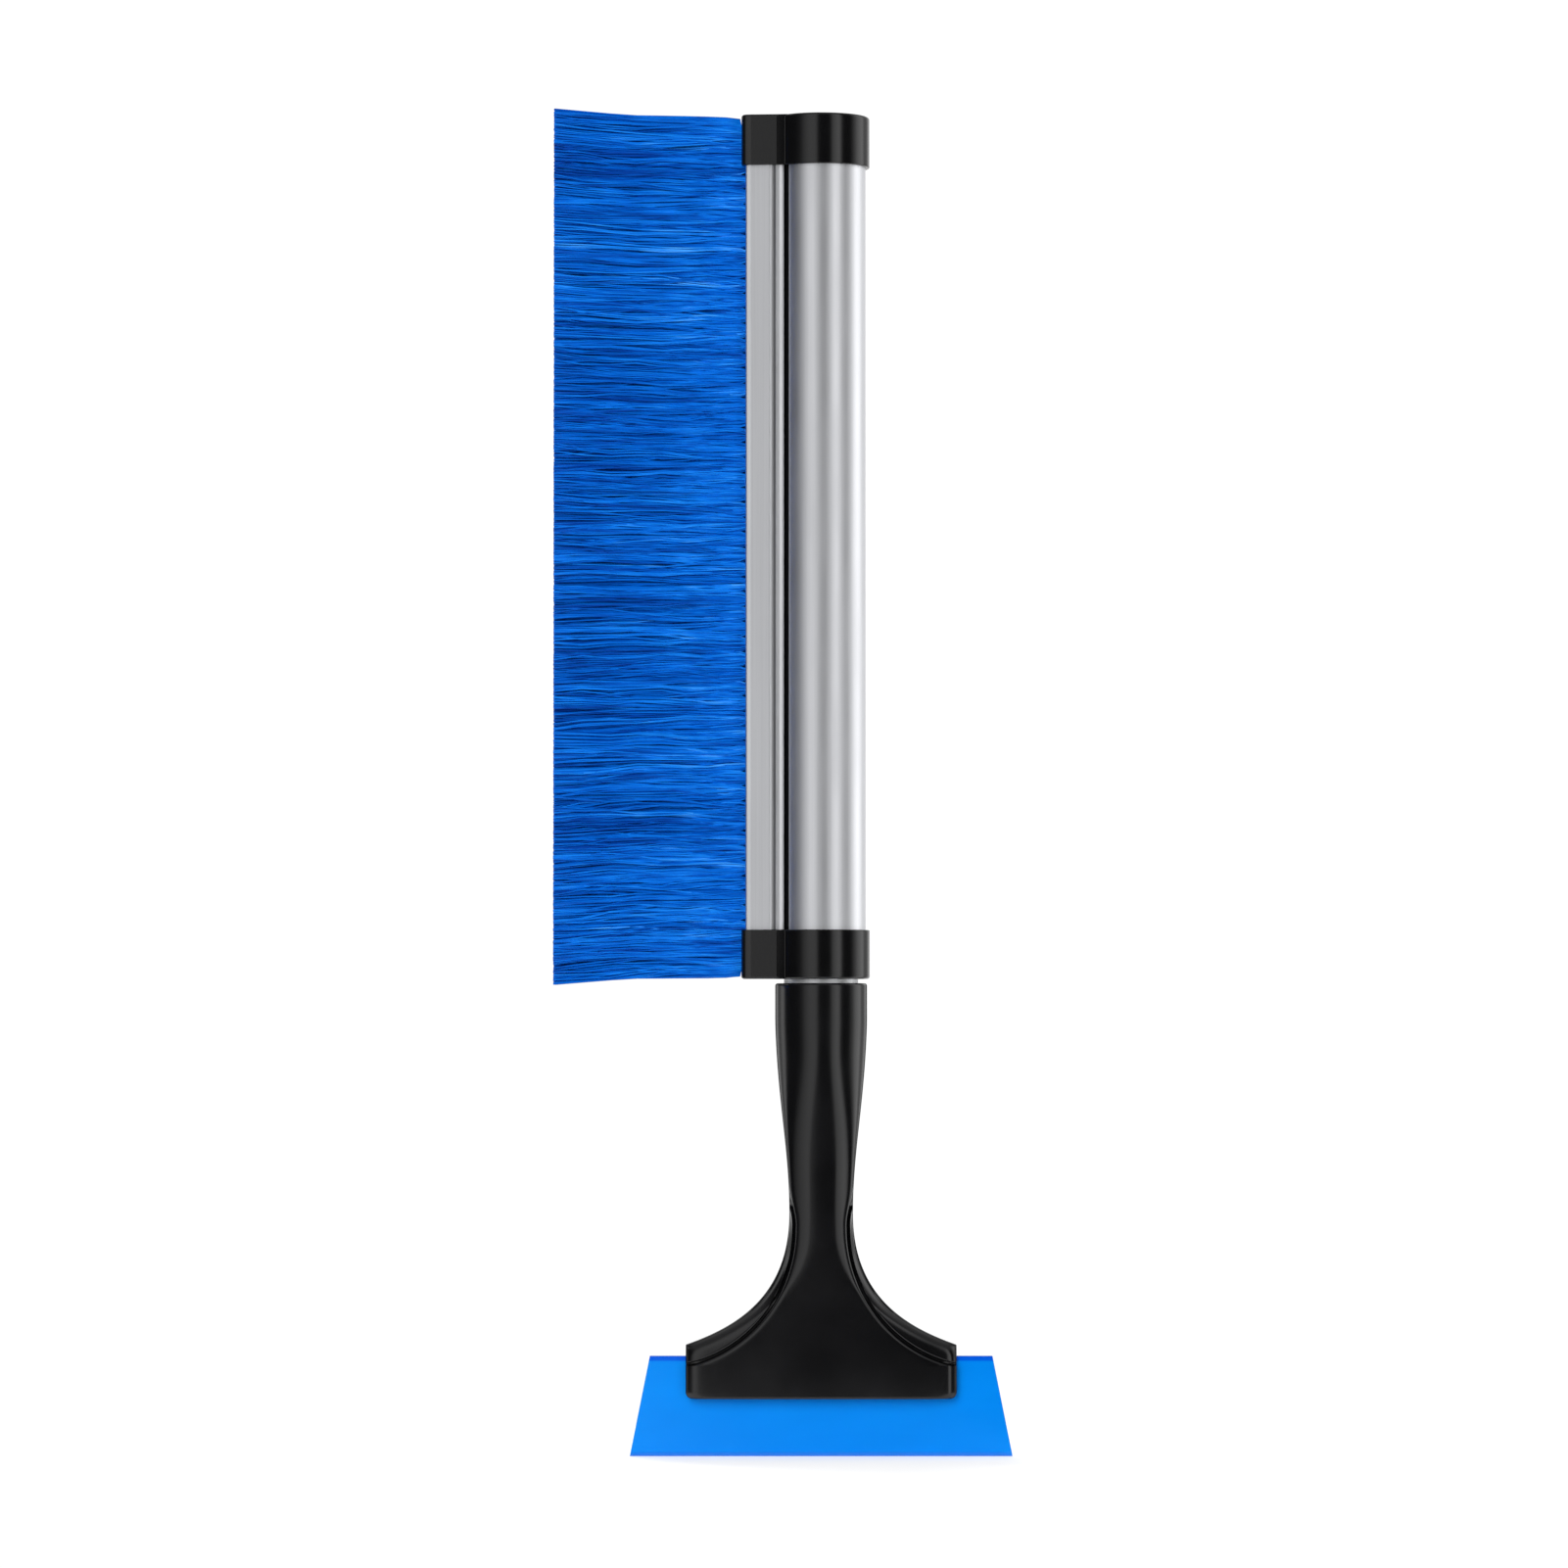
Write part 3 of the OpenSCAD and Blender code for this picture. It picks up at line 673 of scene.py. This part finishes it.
def section(z):
    """Quarter of the handle's section at height z, from the middle of the front to the side."""
    width, depth = half_width(z), half_depth(z)
    edge, slope = panel_edge(z)
    turn = TURN * width
    first = max(0.3 * width, edge + GROOVE_D[0] / slope)
    xs = list(np.linspace(0, min(first, turn), 24))[:-1]
    xs += [min(edge + d / slope, turn) for d in GROOVE_D]
    xs += [xs[-1] + (turn - xs[-1]) * k / 12 for k in range(1, 13)]
    xs = np.array(xs)
    # The groove and the flange begin at the panel's lower end, and run out before the side
    fade = float(smooth((z - PANEL_END + 0.2) / 0.5))
    apart = (xs - edge) * slope
    drop = np.interp(apart, GROOVE_D, GROOVE_Y) + FLANGE_TILT * np.maximum(apart - GROOVE_D[-1], 0)
    drop += flange_drop(xs, z) * smooth((apart - 0.5) / 0.5)
    drop *= fade
    if z > PANEL_END:
        drop *= smooth((1 - xs / width) / SIDE_FADE)
    ys = np.maximum(depth - face_drop(xs, width, z) - drop, LEAST_DEPTH)
    quarter = list(zip(xs.tolist(), ys.tolist()))
    last_x, last_y = quarter[-1]
    rim = min(width - last_x, last_y)
    steps = 6
    for k in range(1, steps + 1):
        angle = math.pi / 2 * k / steps
        quarter.append((last_x + (width - last_x) * math.sin(angle), last_y - rim * (1 - math.cos(angle))))
    for k in range(1, steps + 1):
        quarter.append((width, (last_y - rim) * (1 - k / steps)))
    return quarter


def handle_levels():
    """Heights of the rings, closest round the head's lower edge and the panel's lower end."""
    levels = [HEAD_LOW + r for r in (0, 0.08, 0.25, 0.5, 0.8, 1.1, 1.5, 1.9, 2.3)]
    levels += list(np.arange(HEAD_LOW + 3.0, 29.6, 0.8))
    levels += list(np.arange(30.0, 38.0, 0.2))
    levels += list(np.arange(38.0, 62.0, 0.5))
    levels += list(np.arange(62.0, 100.0, 1.0))
    levels += list(np.arange(100.0, HANDLE_TOP - 1.5, 2.0))
    return levels


def full_ring(quarter, z):
    """Four mirrored quarters joined in one ring."""
    front = [(x, -y) for x, y in quarter]
    right_back = [(x, y) for x, y in quarter[-2::-1]]
    back_left = [(-x, y) for x, y in quarter[1:]]
    left_front = [(-x, -y) for x, y in quarter[-2:0:-1]]
    return [(x, y, z) for x, y in front + right_back + back_left + left_front]


def panel_plate(low_y, high_y, top_z, grow, low_z):
    """The raised panel's outline below top_z, as a plate."""
    edge = [(x + grow, z + grow) for x, z in PANEL_SIDE if z < top_z]
    side_x = HEAD_W + BEYOND
    half = [(edge[0][0], top_z + grow)] + edge[::8] + [edge[-1]]
    half += [(side_x, edge[-1][1]), (side_x, low_z)]
    return prism(half + [(-x, z) for x, z in half[::-1]], low_y, high_y, "y")


def scraper_handle():
    """The moulded handle: sections from the head to the grip, then the rounded rim and the socket."""
    levels = handle_levels()
    points = []
    for z in levels:
        points += full_ring(section(z), z)
    ring = full_ring(section(HANDLE_TOP - 2), 0)
    count = len(ring)
    rim = 0.9
    tops = [(1.0, HANDLE_TOP - rim)]
    for a in np.linspace(15, 90, 6):
        inset = rim * (1 - math.cos(math.radians(a)))
        tops.append((1 - inset / HANDLE_R, HANDLE_TOP - rim + rim * math.sin(math.radians(a))))
    chamfer = 0.35
    tops.append(((SOCKET_R + chamfer) / HANDLE_R, HANDLE_TOP))
    tops += [(SOCKET_R / HANDLE_R, z) for z in (HANDLE_TOP - chamfer, SOCKET_Z)]
    for scale, z in tops:
        points += [(x * scale, y * scale, z) for x, y, _ in ring]
    rings = len(levels) + len(tops)
    faces = ring_faces(rings, count)
    last = (rings - 1) * count
    faces += [tuple(range(count)), tuple(range(last, last + count))]
    piece = mesh_piece(
        "moulded_handle", points, faces, HANDLE_BLACK, "scraper_handle", ["scraper_handle"]
    )
    # Slot for the blade, pocket for the clamp, recesses for the tube screws
    gap, fit = 0.05, 0.15
    half_t, blade_top = BLADE_HIGH[1], BLADE_HIGH[2]
    clamp_top, back = 50.0, 20.0
    screw_zs, recess_r, recess_y = (141.0, 151.0), 3.2, 13.7
    low_z, side_x = HEAD_LOW - BEYOND, HEAD_W + BEYOND
    slot = [(-side_x, low_z), (side_x, low_z), (side_x, blade_top + gap), (-side_x, blade_top + gap)]
    tools = [
        tool_piece("slot", *prism(slot, -half_t - gap, half_t + gap, "y")),
        tool_piece("pocket", *panel_plate(half_t, back, clamp_top, fit, low_z)),
    ]
    for z in screw_zs:
        recess = circle_points(recess_r, 40, (0, z))
        tools.append(tool_piece("recess", *prism(recess, recess_y, back, "y")))
    cut(piece, tools)
    return piece


# ---------------------------------------------------------------- blade


def scraper_blade():
    """Cast blade with soft edges and a bevel along the front of its scraping edge."""
    bottom_w, half_t, height = BLADE_HIGH
    top_w = 57.2
    soft = 0.35
    bevel = 1.6
    hole_xs, hole_z, hole_r = (-28, 0, 28), 27.0, 2.3
    lean = (bottom_w - top_w) / height
    # Rings from the front face round to the back, each an inset of the trapezium at one depth
    turns = np.radians(np.linspace(0, 90, 4))
    rounded = [(soft * (1 - math.sin(turn)), soft * (1 - math.cos(turn))) for turn in turns]
    rings = [(inset, depth - half_t) for inset, depth in rounded]
    rings.append((0, 0.0))
    rings += [(inset, half_t - depth) for inset, depth in rounded[::-1]]
    points = []
    for inset, y in rings:
        bite = max(0.0, min(bevel, -y - half_t + bevel))
        low = inset * (y > 0) + bite
        high = height - inset
        w_low, w_high = bottom_w - lean * low - inset, bottom_w - lean * high - inset
        row = [(-w_low, low), (w_low, low), (w_high, high), (-w_high, high)]
        points += [(x, y, z) for x, z in row]
    last = 4 * (len(rings) - 1)
    faces = ring_faces(len(rings), 4) + [tuple(range(4)), tuple(range(last, last + 4))]
    piece = mesh_piece(
        "cast_blade", points, faces, BLADE_BLUE, "scraper_handle", ["scraper_blade"], sharp=40
    )
    tools = [
        tool_piece("hole", *prism(circle_points(hole_r, 32, (x, hole_z)), -BEYOND, BEYOND, "y"))
        for x in hole_xs
    ]
    cut(piece, tools, sharp=40)
    return piece


# ---------------------------------------------------------------- bristles

STRANDS = 13500
CLUMP = 5
STRAND_SIDES = 4
STRAND_STEPS = 12
STRAND_R = 0.28
ROWS = 3
ROW_Y = 4.3
TUFTS = 56
TUFT_PITCH = 5.0
TUFT_R = 1.65
ROOT_X = LOBE_X - 1.0
TIP_X = -BRISTLE_LOW[0]


# Half height of the trimmed brush where it leaves the lobe and the cap, and how far its straight
# part falls short of its corners
LOBE_HALF_H, CAP_HALF_H, OUT_HALF_H = 141.4, 141.5, 143.8
NEAR_SHORT, FAR_SHORT = 2.2, 2.1


def brush_half_height(x, middle_z):
    """Half height of the brush at distance x from the tube's axis."""
    corner = BRISTLE_HIGH[2] - middle_z + 0.05
    cap_x = LOBE_X + CAP_WALL
    places = [LOBE_X, cap_x + 0.05, cap_x + 0.35, 34.0, 64.0, TIP_X]
    heights = [
        LOBE_HALF_H, CAP_HALF_H, OUT_HALF_H, corner - NEAR_SHORT, corner - FAR_SHORT, corner - 0.05
    ]
    return np.interp(x, places, heights)


def brush_half_depth(x):
    """Half depth of the brush at distance x from the tube's axis."""
    return np.interp(x, [LOBE_X, LOBE_X + 2.4, TIP_X], [6.0, 6.4, BRISTLE_HIGH[1] - 0.3])


def strand_paths(draw):
    """Centre lines of all strands, and a shade, row and height for each, as arrays."""
    middle_z = (BRISTLE_LOW[2] + BRISTLE_HIGH[2]) / 2
    clumps = STRANDS // CLUMP
    # Each clump of strands has an even share of the height, and a row
    clump_u = (np.arange(clumps) + draw.uniform(0.0, 1.0, clumps)) / clumps * 2 - 1
    clump_row = np.arange(clumps) % ROWS - 1
    row_share = 0.66
    row_half = 0.34
    clump_v = clump_row * row_share + draw.uniform(-row_half, row_half, clumps)
    clump_v = np.clip(clump_v, -0.97, 0.97)
    clump_shade = draw.normal(0.0, 0.11, clumps)
    wave_length = draw.uniform(24, 60, clumps)
    wave_phase = draw.uniform(0, 2 * math.pi, clumps)
    wave_size = draw.uniform(0.1, 0.7, clumps)
    lean = draw.normal(0, 1.7, clumps)

    # Each strand's own place in its clump, and its own waves
    owner = np.repeat(np.arange(clumps), CLUMP)
    count = len(owner)
    angle = draw.uniform(0, 2 * math.pi, count)
    clump_r = 0.75
    reach = np.sqrt(draw.uniform(0, 1, count)) * clump_r
    own_size = draw.uniform(0.05, 0.25, count)
    own_length = draw.uniform(14, 34, count)
    own_phase = draw.uniform(0, 2 * math.pi, count)
    own_lean = draw.normal(0, 1.3, count)
    shade = clump_shade[owner] + draw.normal(0, 0.05, count)
    short = draw.uniform(0, 0.2, count)

    # Closer rings where the strands leave the cap's slot, and one just before the tip for its shading
    sunk, end = 1.5, 0.2
    start = ROOT_X - sunk
    cap_x = LOBE_X + CAP_WALL
    near = np.array([0.0, sunk, cap_x + 0.03 - start, cap_x + 0.4 - start])
    outer = near[-1] + (TIP_X - end - start - near[-1]) * np.linspace(0, 1, STRAND_STEPS - 3)[1:] ** 1.25
    x = start + np.concatenate([near, outer, [TIP_X - start]])[None, :] * np.ones((count, 1))
    x[:, -2:] -= short[:, None]
    along = x - start
    far = along / along.max()
    height = brush_half_height(x, middle_z)
    full = brush_half_height(np.maximum(x, cap_x + 1.0), middle_z)
    depth = brush_half_depth(x)

    wave = np.sin(2 * math.pi * x / wave_length[owner][:, None] + wave_phase[owner][:, None])
    own_wave = np.sin(2 * math.pi * x / own_length[:, None] + own_phase[:, None])
    z = clump_u[owner][:, None] * full + (reach * np.cos(angle))[:, None] * (0.6 + 0.4 * far)
    wave_from, own_from = 12.0, 8.0
    z = z + wave_size[owner][:, None] * wave * smooth(along / wave_from)
    z = z + own_size[:, None] * own_wave * smooth(along / own_from)
    z = z + (lean[owner] + own_lean)[:, None] * far
    y = clump_v[owner][:, None] * depth + (reach * np.sin(angle))[:, None] * (0.6 + 0.6 * far)

    # Roots: each strand stands in the nearest hole of its row, on the side that it leaves to
    row = clump_row[owner]
    shift = np.where(row == 0, TUFT_PITCH / 2, 0.0)
    last = (TUFTS - 1) * TUFT_PITCH / 2 - shift
    wanted = clump_u[owner] * full[:, 0]
    tuft = np.round((wanted - last) / TUFT_PITCH) * TUFT_PITCH + last
    tuft = np.clip(tuft, -last, last)
    across = np.clip((wanted - tuft) * 2 / TUFT_PITCH, -1, 1) * TUFT_R
    root_z = tuft + across
    root_y = row * ROW_Y + np.sqrt(TUFT_R**2 - across**2) * draw.uniform(-1, 1, count)
    z_from, y_from = 3.5, 26.0
    spread = smooth((x - ROOT_X) / z_from)
    spread_y = smooth((x - ROOT_X) / y_from)
    z = root_z[:, None] * (1 - spread) + z * spread
    y = root_y[:, None] * (1 - spread_y) + y * spread_y

    # Nothing leaves the trimmed outline of the brush
    ease = 0.5
    over = np.maximum(np.abs(z) - (height - ease), 0)
    z = np.sign(z) * (np.minimum(np.abs(z), height - ease) + ease * (1 - np.exp(-over / ease)) * 0.9)
    y = np.clip(y, -depth, depth)
    centre = np.stack([-x, y, z + middle_z], axis=2)
    return centre, shade, row, clump_u[owner]


def strand_mesh(name, centre, shade):
    """One piece with a four-sided tube along each centre line."""
    count, rings, _ = centre.shape
    twist = 0.4
    corner = np.arange(STRAND_SIDES) * 2 * math.pi / STRAND_SIDES + twist
    ring = np.stack([np.zeros(STRAND_SIDES), np.cos(corner), np.sin(corner)], axis=1)
    taper = np.ones(rings)
    taper[-1] = 0.7
    verts = centre[:, :, None, :] + STRAND_R * taper[None, :, None, None] * ring[None, None, :, :]
    verts = (verts * MM).reshape(-1, 3)
    base = np.arange(count)[:, None, None] * rings * STRAND_SIDES
    r = np.arange(rings - 1)[None, :, None] * STRAND_SIDES
    k = np.arange(STRAND_SIDES)[None, None, :]
    n = (k + 1) % STRAND_SIDES
    low, high = base + r, base + r + STRAND_SIDES
    quads = np.stack([low + k, high + k, high + n, low + n], axis=3)
    first = np.arange(count)[:, None] * rings * STRAND_SIDES
    tip = first + (rings - 1) * STRAND_SIDES + np.arange(STRAND_SIDES)[None, :]
    root = first + np.arange(STRAND_SIDES)[None, ::-1]
    loops = np.concatenate([quads.reshape(-1, 4), tip, root]).astype(np.int32)
    mesh = bpy.data.meshes.new(name)
    mesh.vertices.add(len(verts))
    mesh.vertices.foreach_set("co", verts.astype(np.float32).ravel())
    mesh.loops.add(loops.size)
    mesh.loops.foreach_set("vertex_index", loops.ravel())
    mesh.polygons.add(len(loops))
    mesh.polygons.foreach_set("loop_start", np.arange(0, loops.size, 4, dtype=np.int32))
    mesh.update(calc_edges=True)
    mesh.validate()
    attribute = mesh.attributes.new("shade", "FLOAT", "POINT")
    attribute.data.foreach_set("value", np.repeat(shade, rings * STRAND_SIDES).astype(np.float32))
    mesh.shade_smooth()
    mesh.set_sharp_from_angle(angle=math.radians(100))
    mesh.materials.append(BRISTLE_BLUE)
    piece = bpy.data.objects.new(name, mesh)
    bpy.context.scene.collection.objects.link(piece)
    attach(piece, "brush_body")
    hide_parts("bristles")
    return piece


def bristles():
    """All strands, in nine pieces: three rows, each in thirds of its height."""
    draw = np.random.default_rng(SEED)
    centre, shade, row, height = strand_paths(draw)
    third = 0.33
    for number, place in ((-1, "front"), (0, "middle"), (1, "back")):
        for low, high, part in ((-2, -third, "lower"), (-third, third, "central"), (third, 2, "upper")):
            chosen = (row == number) & (height >= low) & (height < high)
            strand_mesh(f"bristles_{place}_{part}", centre[chosen], shade[chosen])


# ---------------------------------------------------------------- CAD nodes that stay


FINISHES = {
    "blade_clamp": HANDLE_BLACK,
    "clamp_screws": SCREW_STEEL,
    "threaded_inserts": INSERT_BRASS,
    "inner_tube": TUBE_METAL,
    "tube_screws": SCREW_STEEL,
    "lock_plug": PLUG_DARK,
    "cam_retainer": SCREW_STEEL,
    "cam_screw": SCREW_STEEL,
    "glide_ring": BUSH_WHITE,
    "lock_cam": CAM_ORANGE,
    "guide_bush": BUSH_WHITE,
    "bristle_strip": STRIP_BLACK,
    "tuft_anchors": INSERT_BRASS,
    "top_cap_screws": SCREW_STEEL,
    "bottom_cap_screws": SCREW_STEEL,
}


def finish_nodes():
    """Gives every CAD node that stays its material."""
    for name, material in FINISHES.items():
        nodes[name].data.materials.clear()
        nodes[name].data.materials.append(material)


# ---------------------------------------------------------------- studio


def studio_world():
    """White to the camera. To the object it is a ring of soft upright lights under a dim ceiling."""
    world = bpy.data.worlds.new("studio")
    bpy.context.scene.world = world
    world.use_nodes = True
    tree = world.node_tree
    tree.nodes.clear()
    place = tree.nodes.new("ShaderNodeTexCoord")
    axes = tree.nodes.new("ShaderNodeSeparateXYZ")
    tree.links.new(place.outputs["Generated"], axes.inputs["Vector"])
    flip = tree.nodes.new("ShaderNodeMath")
    flip.operation = "MULTIPLY"
    flip.inputs[1].default_value = -1.0
    tree.links.new(axes.outputs["Y"], flip.inputs[0])
    around = tree.nodes.new("ShaderNodeMath")
    around.operation = "ARCTAN2"
    tree.links.new(axes.outputs["X"], around.inputs[0])
    tree.links.new(flip.outputs["Value"], around.inputs[1])
    turn = ramp(tree, around.outputs["Value"], -math.pi, math.pi, 0.0, 1.0)
    # Brightness by the angle from the front, to the right
    bands = [
        (-180, 0.9), (-150, 0.9), (-140, 0.3), (-128, 0.3), (-119, 1.1), (-110, 1.2), (-104, 0.03),
        (-62, 0.03), (-50, 0.15), (-42, 0.55), (-28, 1.0), (-12, 1.0), (-6, 0.03),
        (22, 0.03), (29, 1.1), (36, 1.35), (44, 1.9), (52, 0.03),
        (75, 0.03), (86, 0.6), (98, 1.5), (116, 1.7), (124, 0.5), (140, 0.4), (150, 0.9), (180, 0.9),
    ]
    strength = 2.0
    grey = [((angle + 180) / 360, (level / strength,) * 3) for angle, level in bands]
    ring = colours(tree, turn, grey)
    rise = tree.nodes.new("ShaderNodeMapRange")
    rise.interpolation_type = "SMOOTHSTEP"
    rise.inputs["From Min"].default_value = 0.50
    rise.inputs["From Max"].default_value = 0.80
    tree.links.new(axes.outputs["Z"], rise.inputs["Value"])
    ceiling = tree.nodes.new("ShaderNodeMix")
    ceiling.data_type = "RGBA"
    tree.links.new(rise.outputs["Result"], ceiling.inputs["Factor"])
    tree.links.new(ring, ceiling.inputs[6])
    ceiling.inputs[7].default_value = (0.2, 0.2, 0.2, 1)
    lit = tree.nodes.new("ShaderNodeBackground")
    lit.inputs["Strength"].default_value = strength
    tree.links.new(ceiling.outputs[2], lit.inputs["Color"])
    seen = tree.nodes.new("ShaderNodeBackground")
    seen.inputs["Color"].default_value = (1, 1, 1, 1)
    seen.inputs["Strength"].default_value = 1.05
    path = tree.nodes.new("ShaderNodeLightPath")
    pick = tree.nodes.new("ShaderNodeMixShader")
    tree.links.new(path.outputs["Is Camera Ray"], pick.inputs["Fac"])
    tree.links.new(lit.outputs["Background"], pick.inputs[1])
    tree.links.new(seen.outputs["Background"], pick.inputs[2])
    out = tree.nodes.new("ShaderNodeOutputWorld")
    tree.links.new(pick.outputs["Shader"], out.inputs["Surface"])


def look_at(thing, aim):
    """Turns a lamp or the camera towards a point, in metres."""
    thing.rotation_euler = (Vector(aim) - thing.location).to_track_quat("-Z", "Y").to_euler()


def soft_lights():
    """Two large soft lamps, one on each side, that light without showing in the gloss."""
    for name, side in (("front_lamp", -1), ("back_lamp", 1)):
        data = bpy.data.lights.new(name, "AREA")
        data.shape = "DISK"
        data.size = 1.4
        data.energy = 26.0
        lamp = bpy.data.objects.new(name, data)
        lamp.location = (-0.5, side * 1.7, 0.75)
        look_at(lamp, (0.0, 0.0, 0.22))
        lamp.visible_glossy = False
        lamp.visible_camera = False
        bpy.context.scene.collection.objects.link(lamp)


def floor():
    """Round pale floor, level with the blade's edge."""
    radius, level, count = 190.0, -0.05, 96
    points = [(x, y, level) for x, y in circle_points(radius, count)]
    material, tree, shader = node_material("floor_white")
    speckle = noise(tree, 14.0)
    pale = colours(tree, speckle, [(0.3, (0.88, 0.88, 0.88)), (0.7, (0.9, 0.9, 0.9))])
    tree.links.new(pale, shader.inputs["Base Color"])
    shader.inputs["Roughness"].default_value = 0.9
    shader.inputs["Specular IOR Level"].default_value = 0.0
    shader.inputs["Emission Color"].default_value = (1, 1, 1, 1)
    shader.inputs["Emission Strength"].default_value = 0.35
    piece = mesh_piece("floor", points, [tuple(range(count))], material, None)


def camera():
    """Level with the lower cap, far enough off for a long lens, aimed at the middle of the frame."""
    data = bpy.data.cameras.new("camera")
    data.sensor_width = 36.0
    data.lens = 160.5
    data.clip_end = 50.0
    seat = bpy.data.objects.new("camera", data)
    middle_x = -0.0124
    seat.location = (middle_x, -2.34, 0.15)
    look_at(seat, (middle_x, 0.0, 0.2245))
    bpy.context.scene.collection.objects.link(seat)
    bpy.context.scene.camera = seat


camera()
studio_world()
soft_lights()
floor()
bpy.context.scene.view_settings.view_transform = "Standard"

CAP_BORE = 12.7
end_cap("moulded_top_cap", "top_end_cap", 1, TOP_CAP_HIGH[2] - TOP_CAP_LOW[2], 0)
end_cap("moulded_bottom_cap", "bottom_end_cap", -1, BOTTOM_CAP_HIGH[2] - BOTTOM_CAP_LOW[2], CAP_BORE)
extrusion()
scraper_handle()
scraper_blade()
bristles()
finish_nodes()
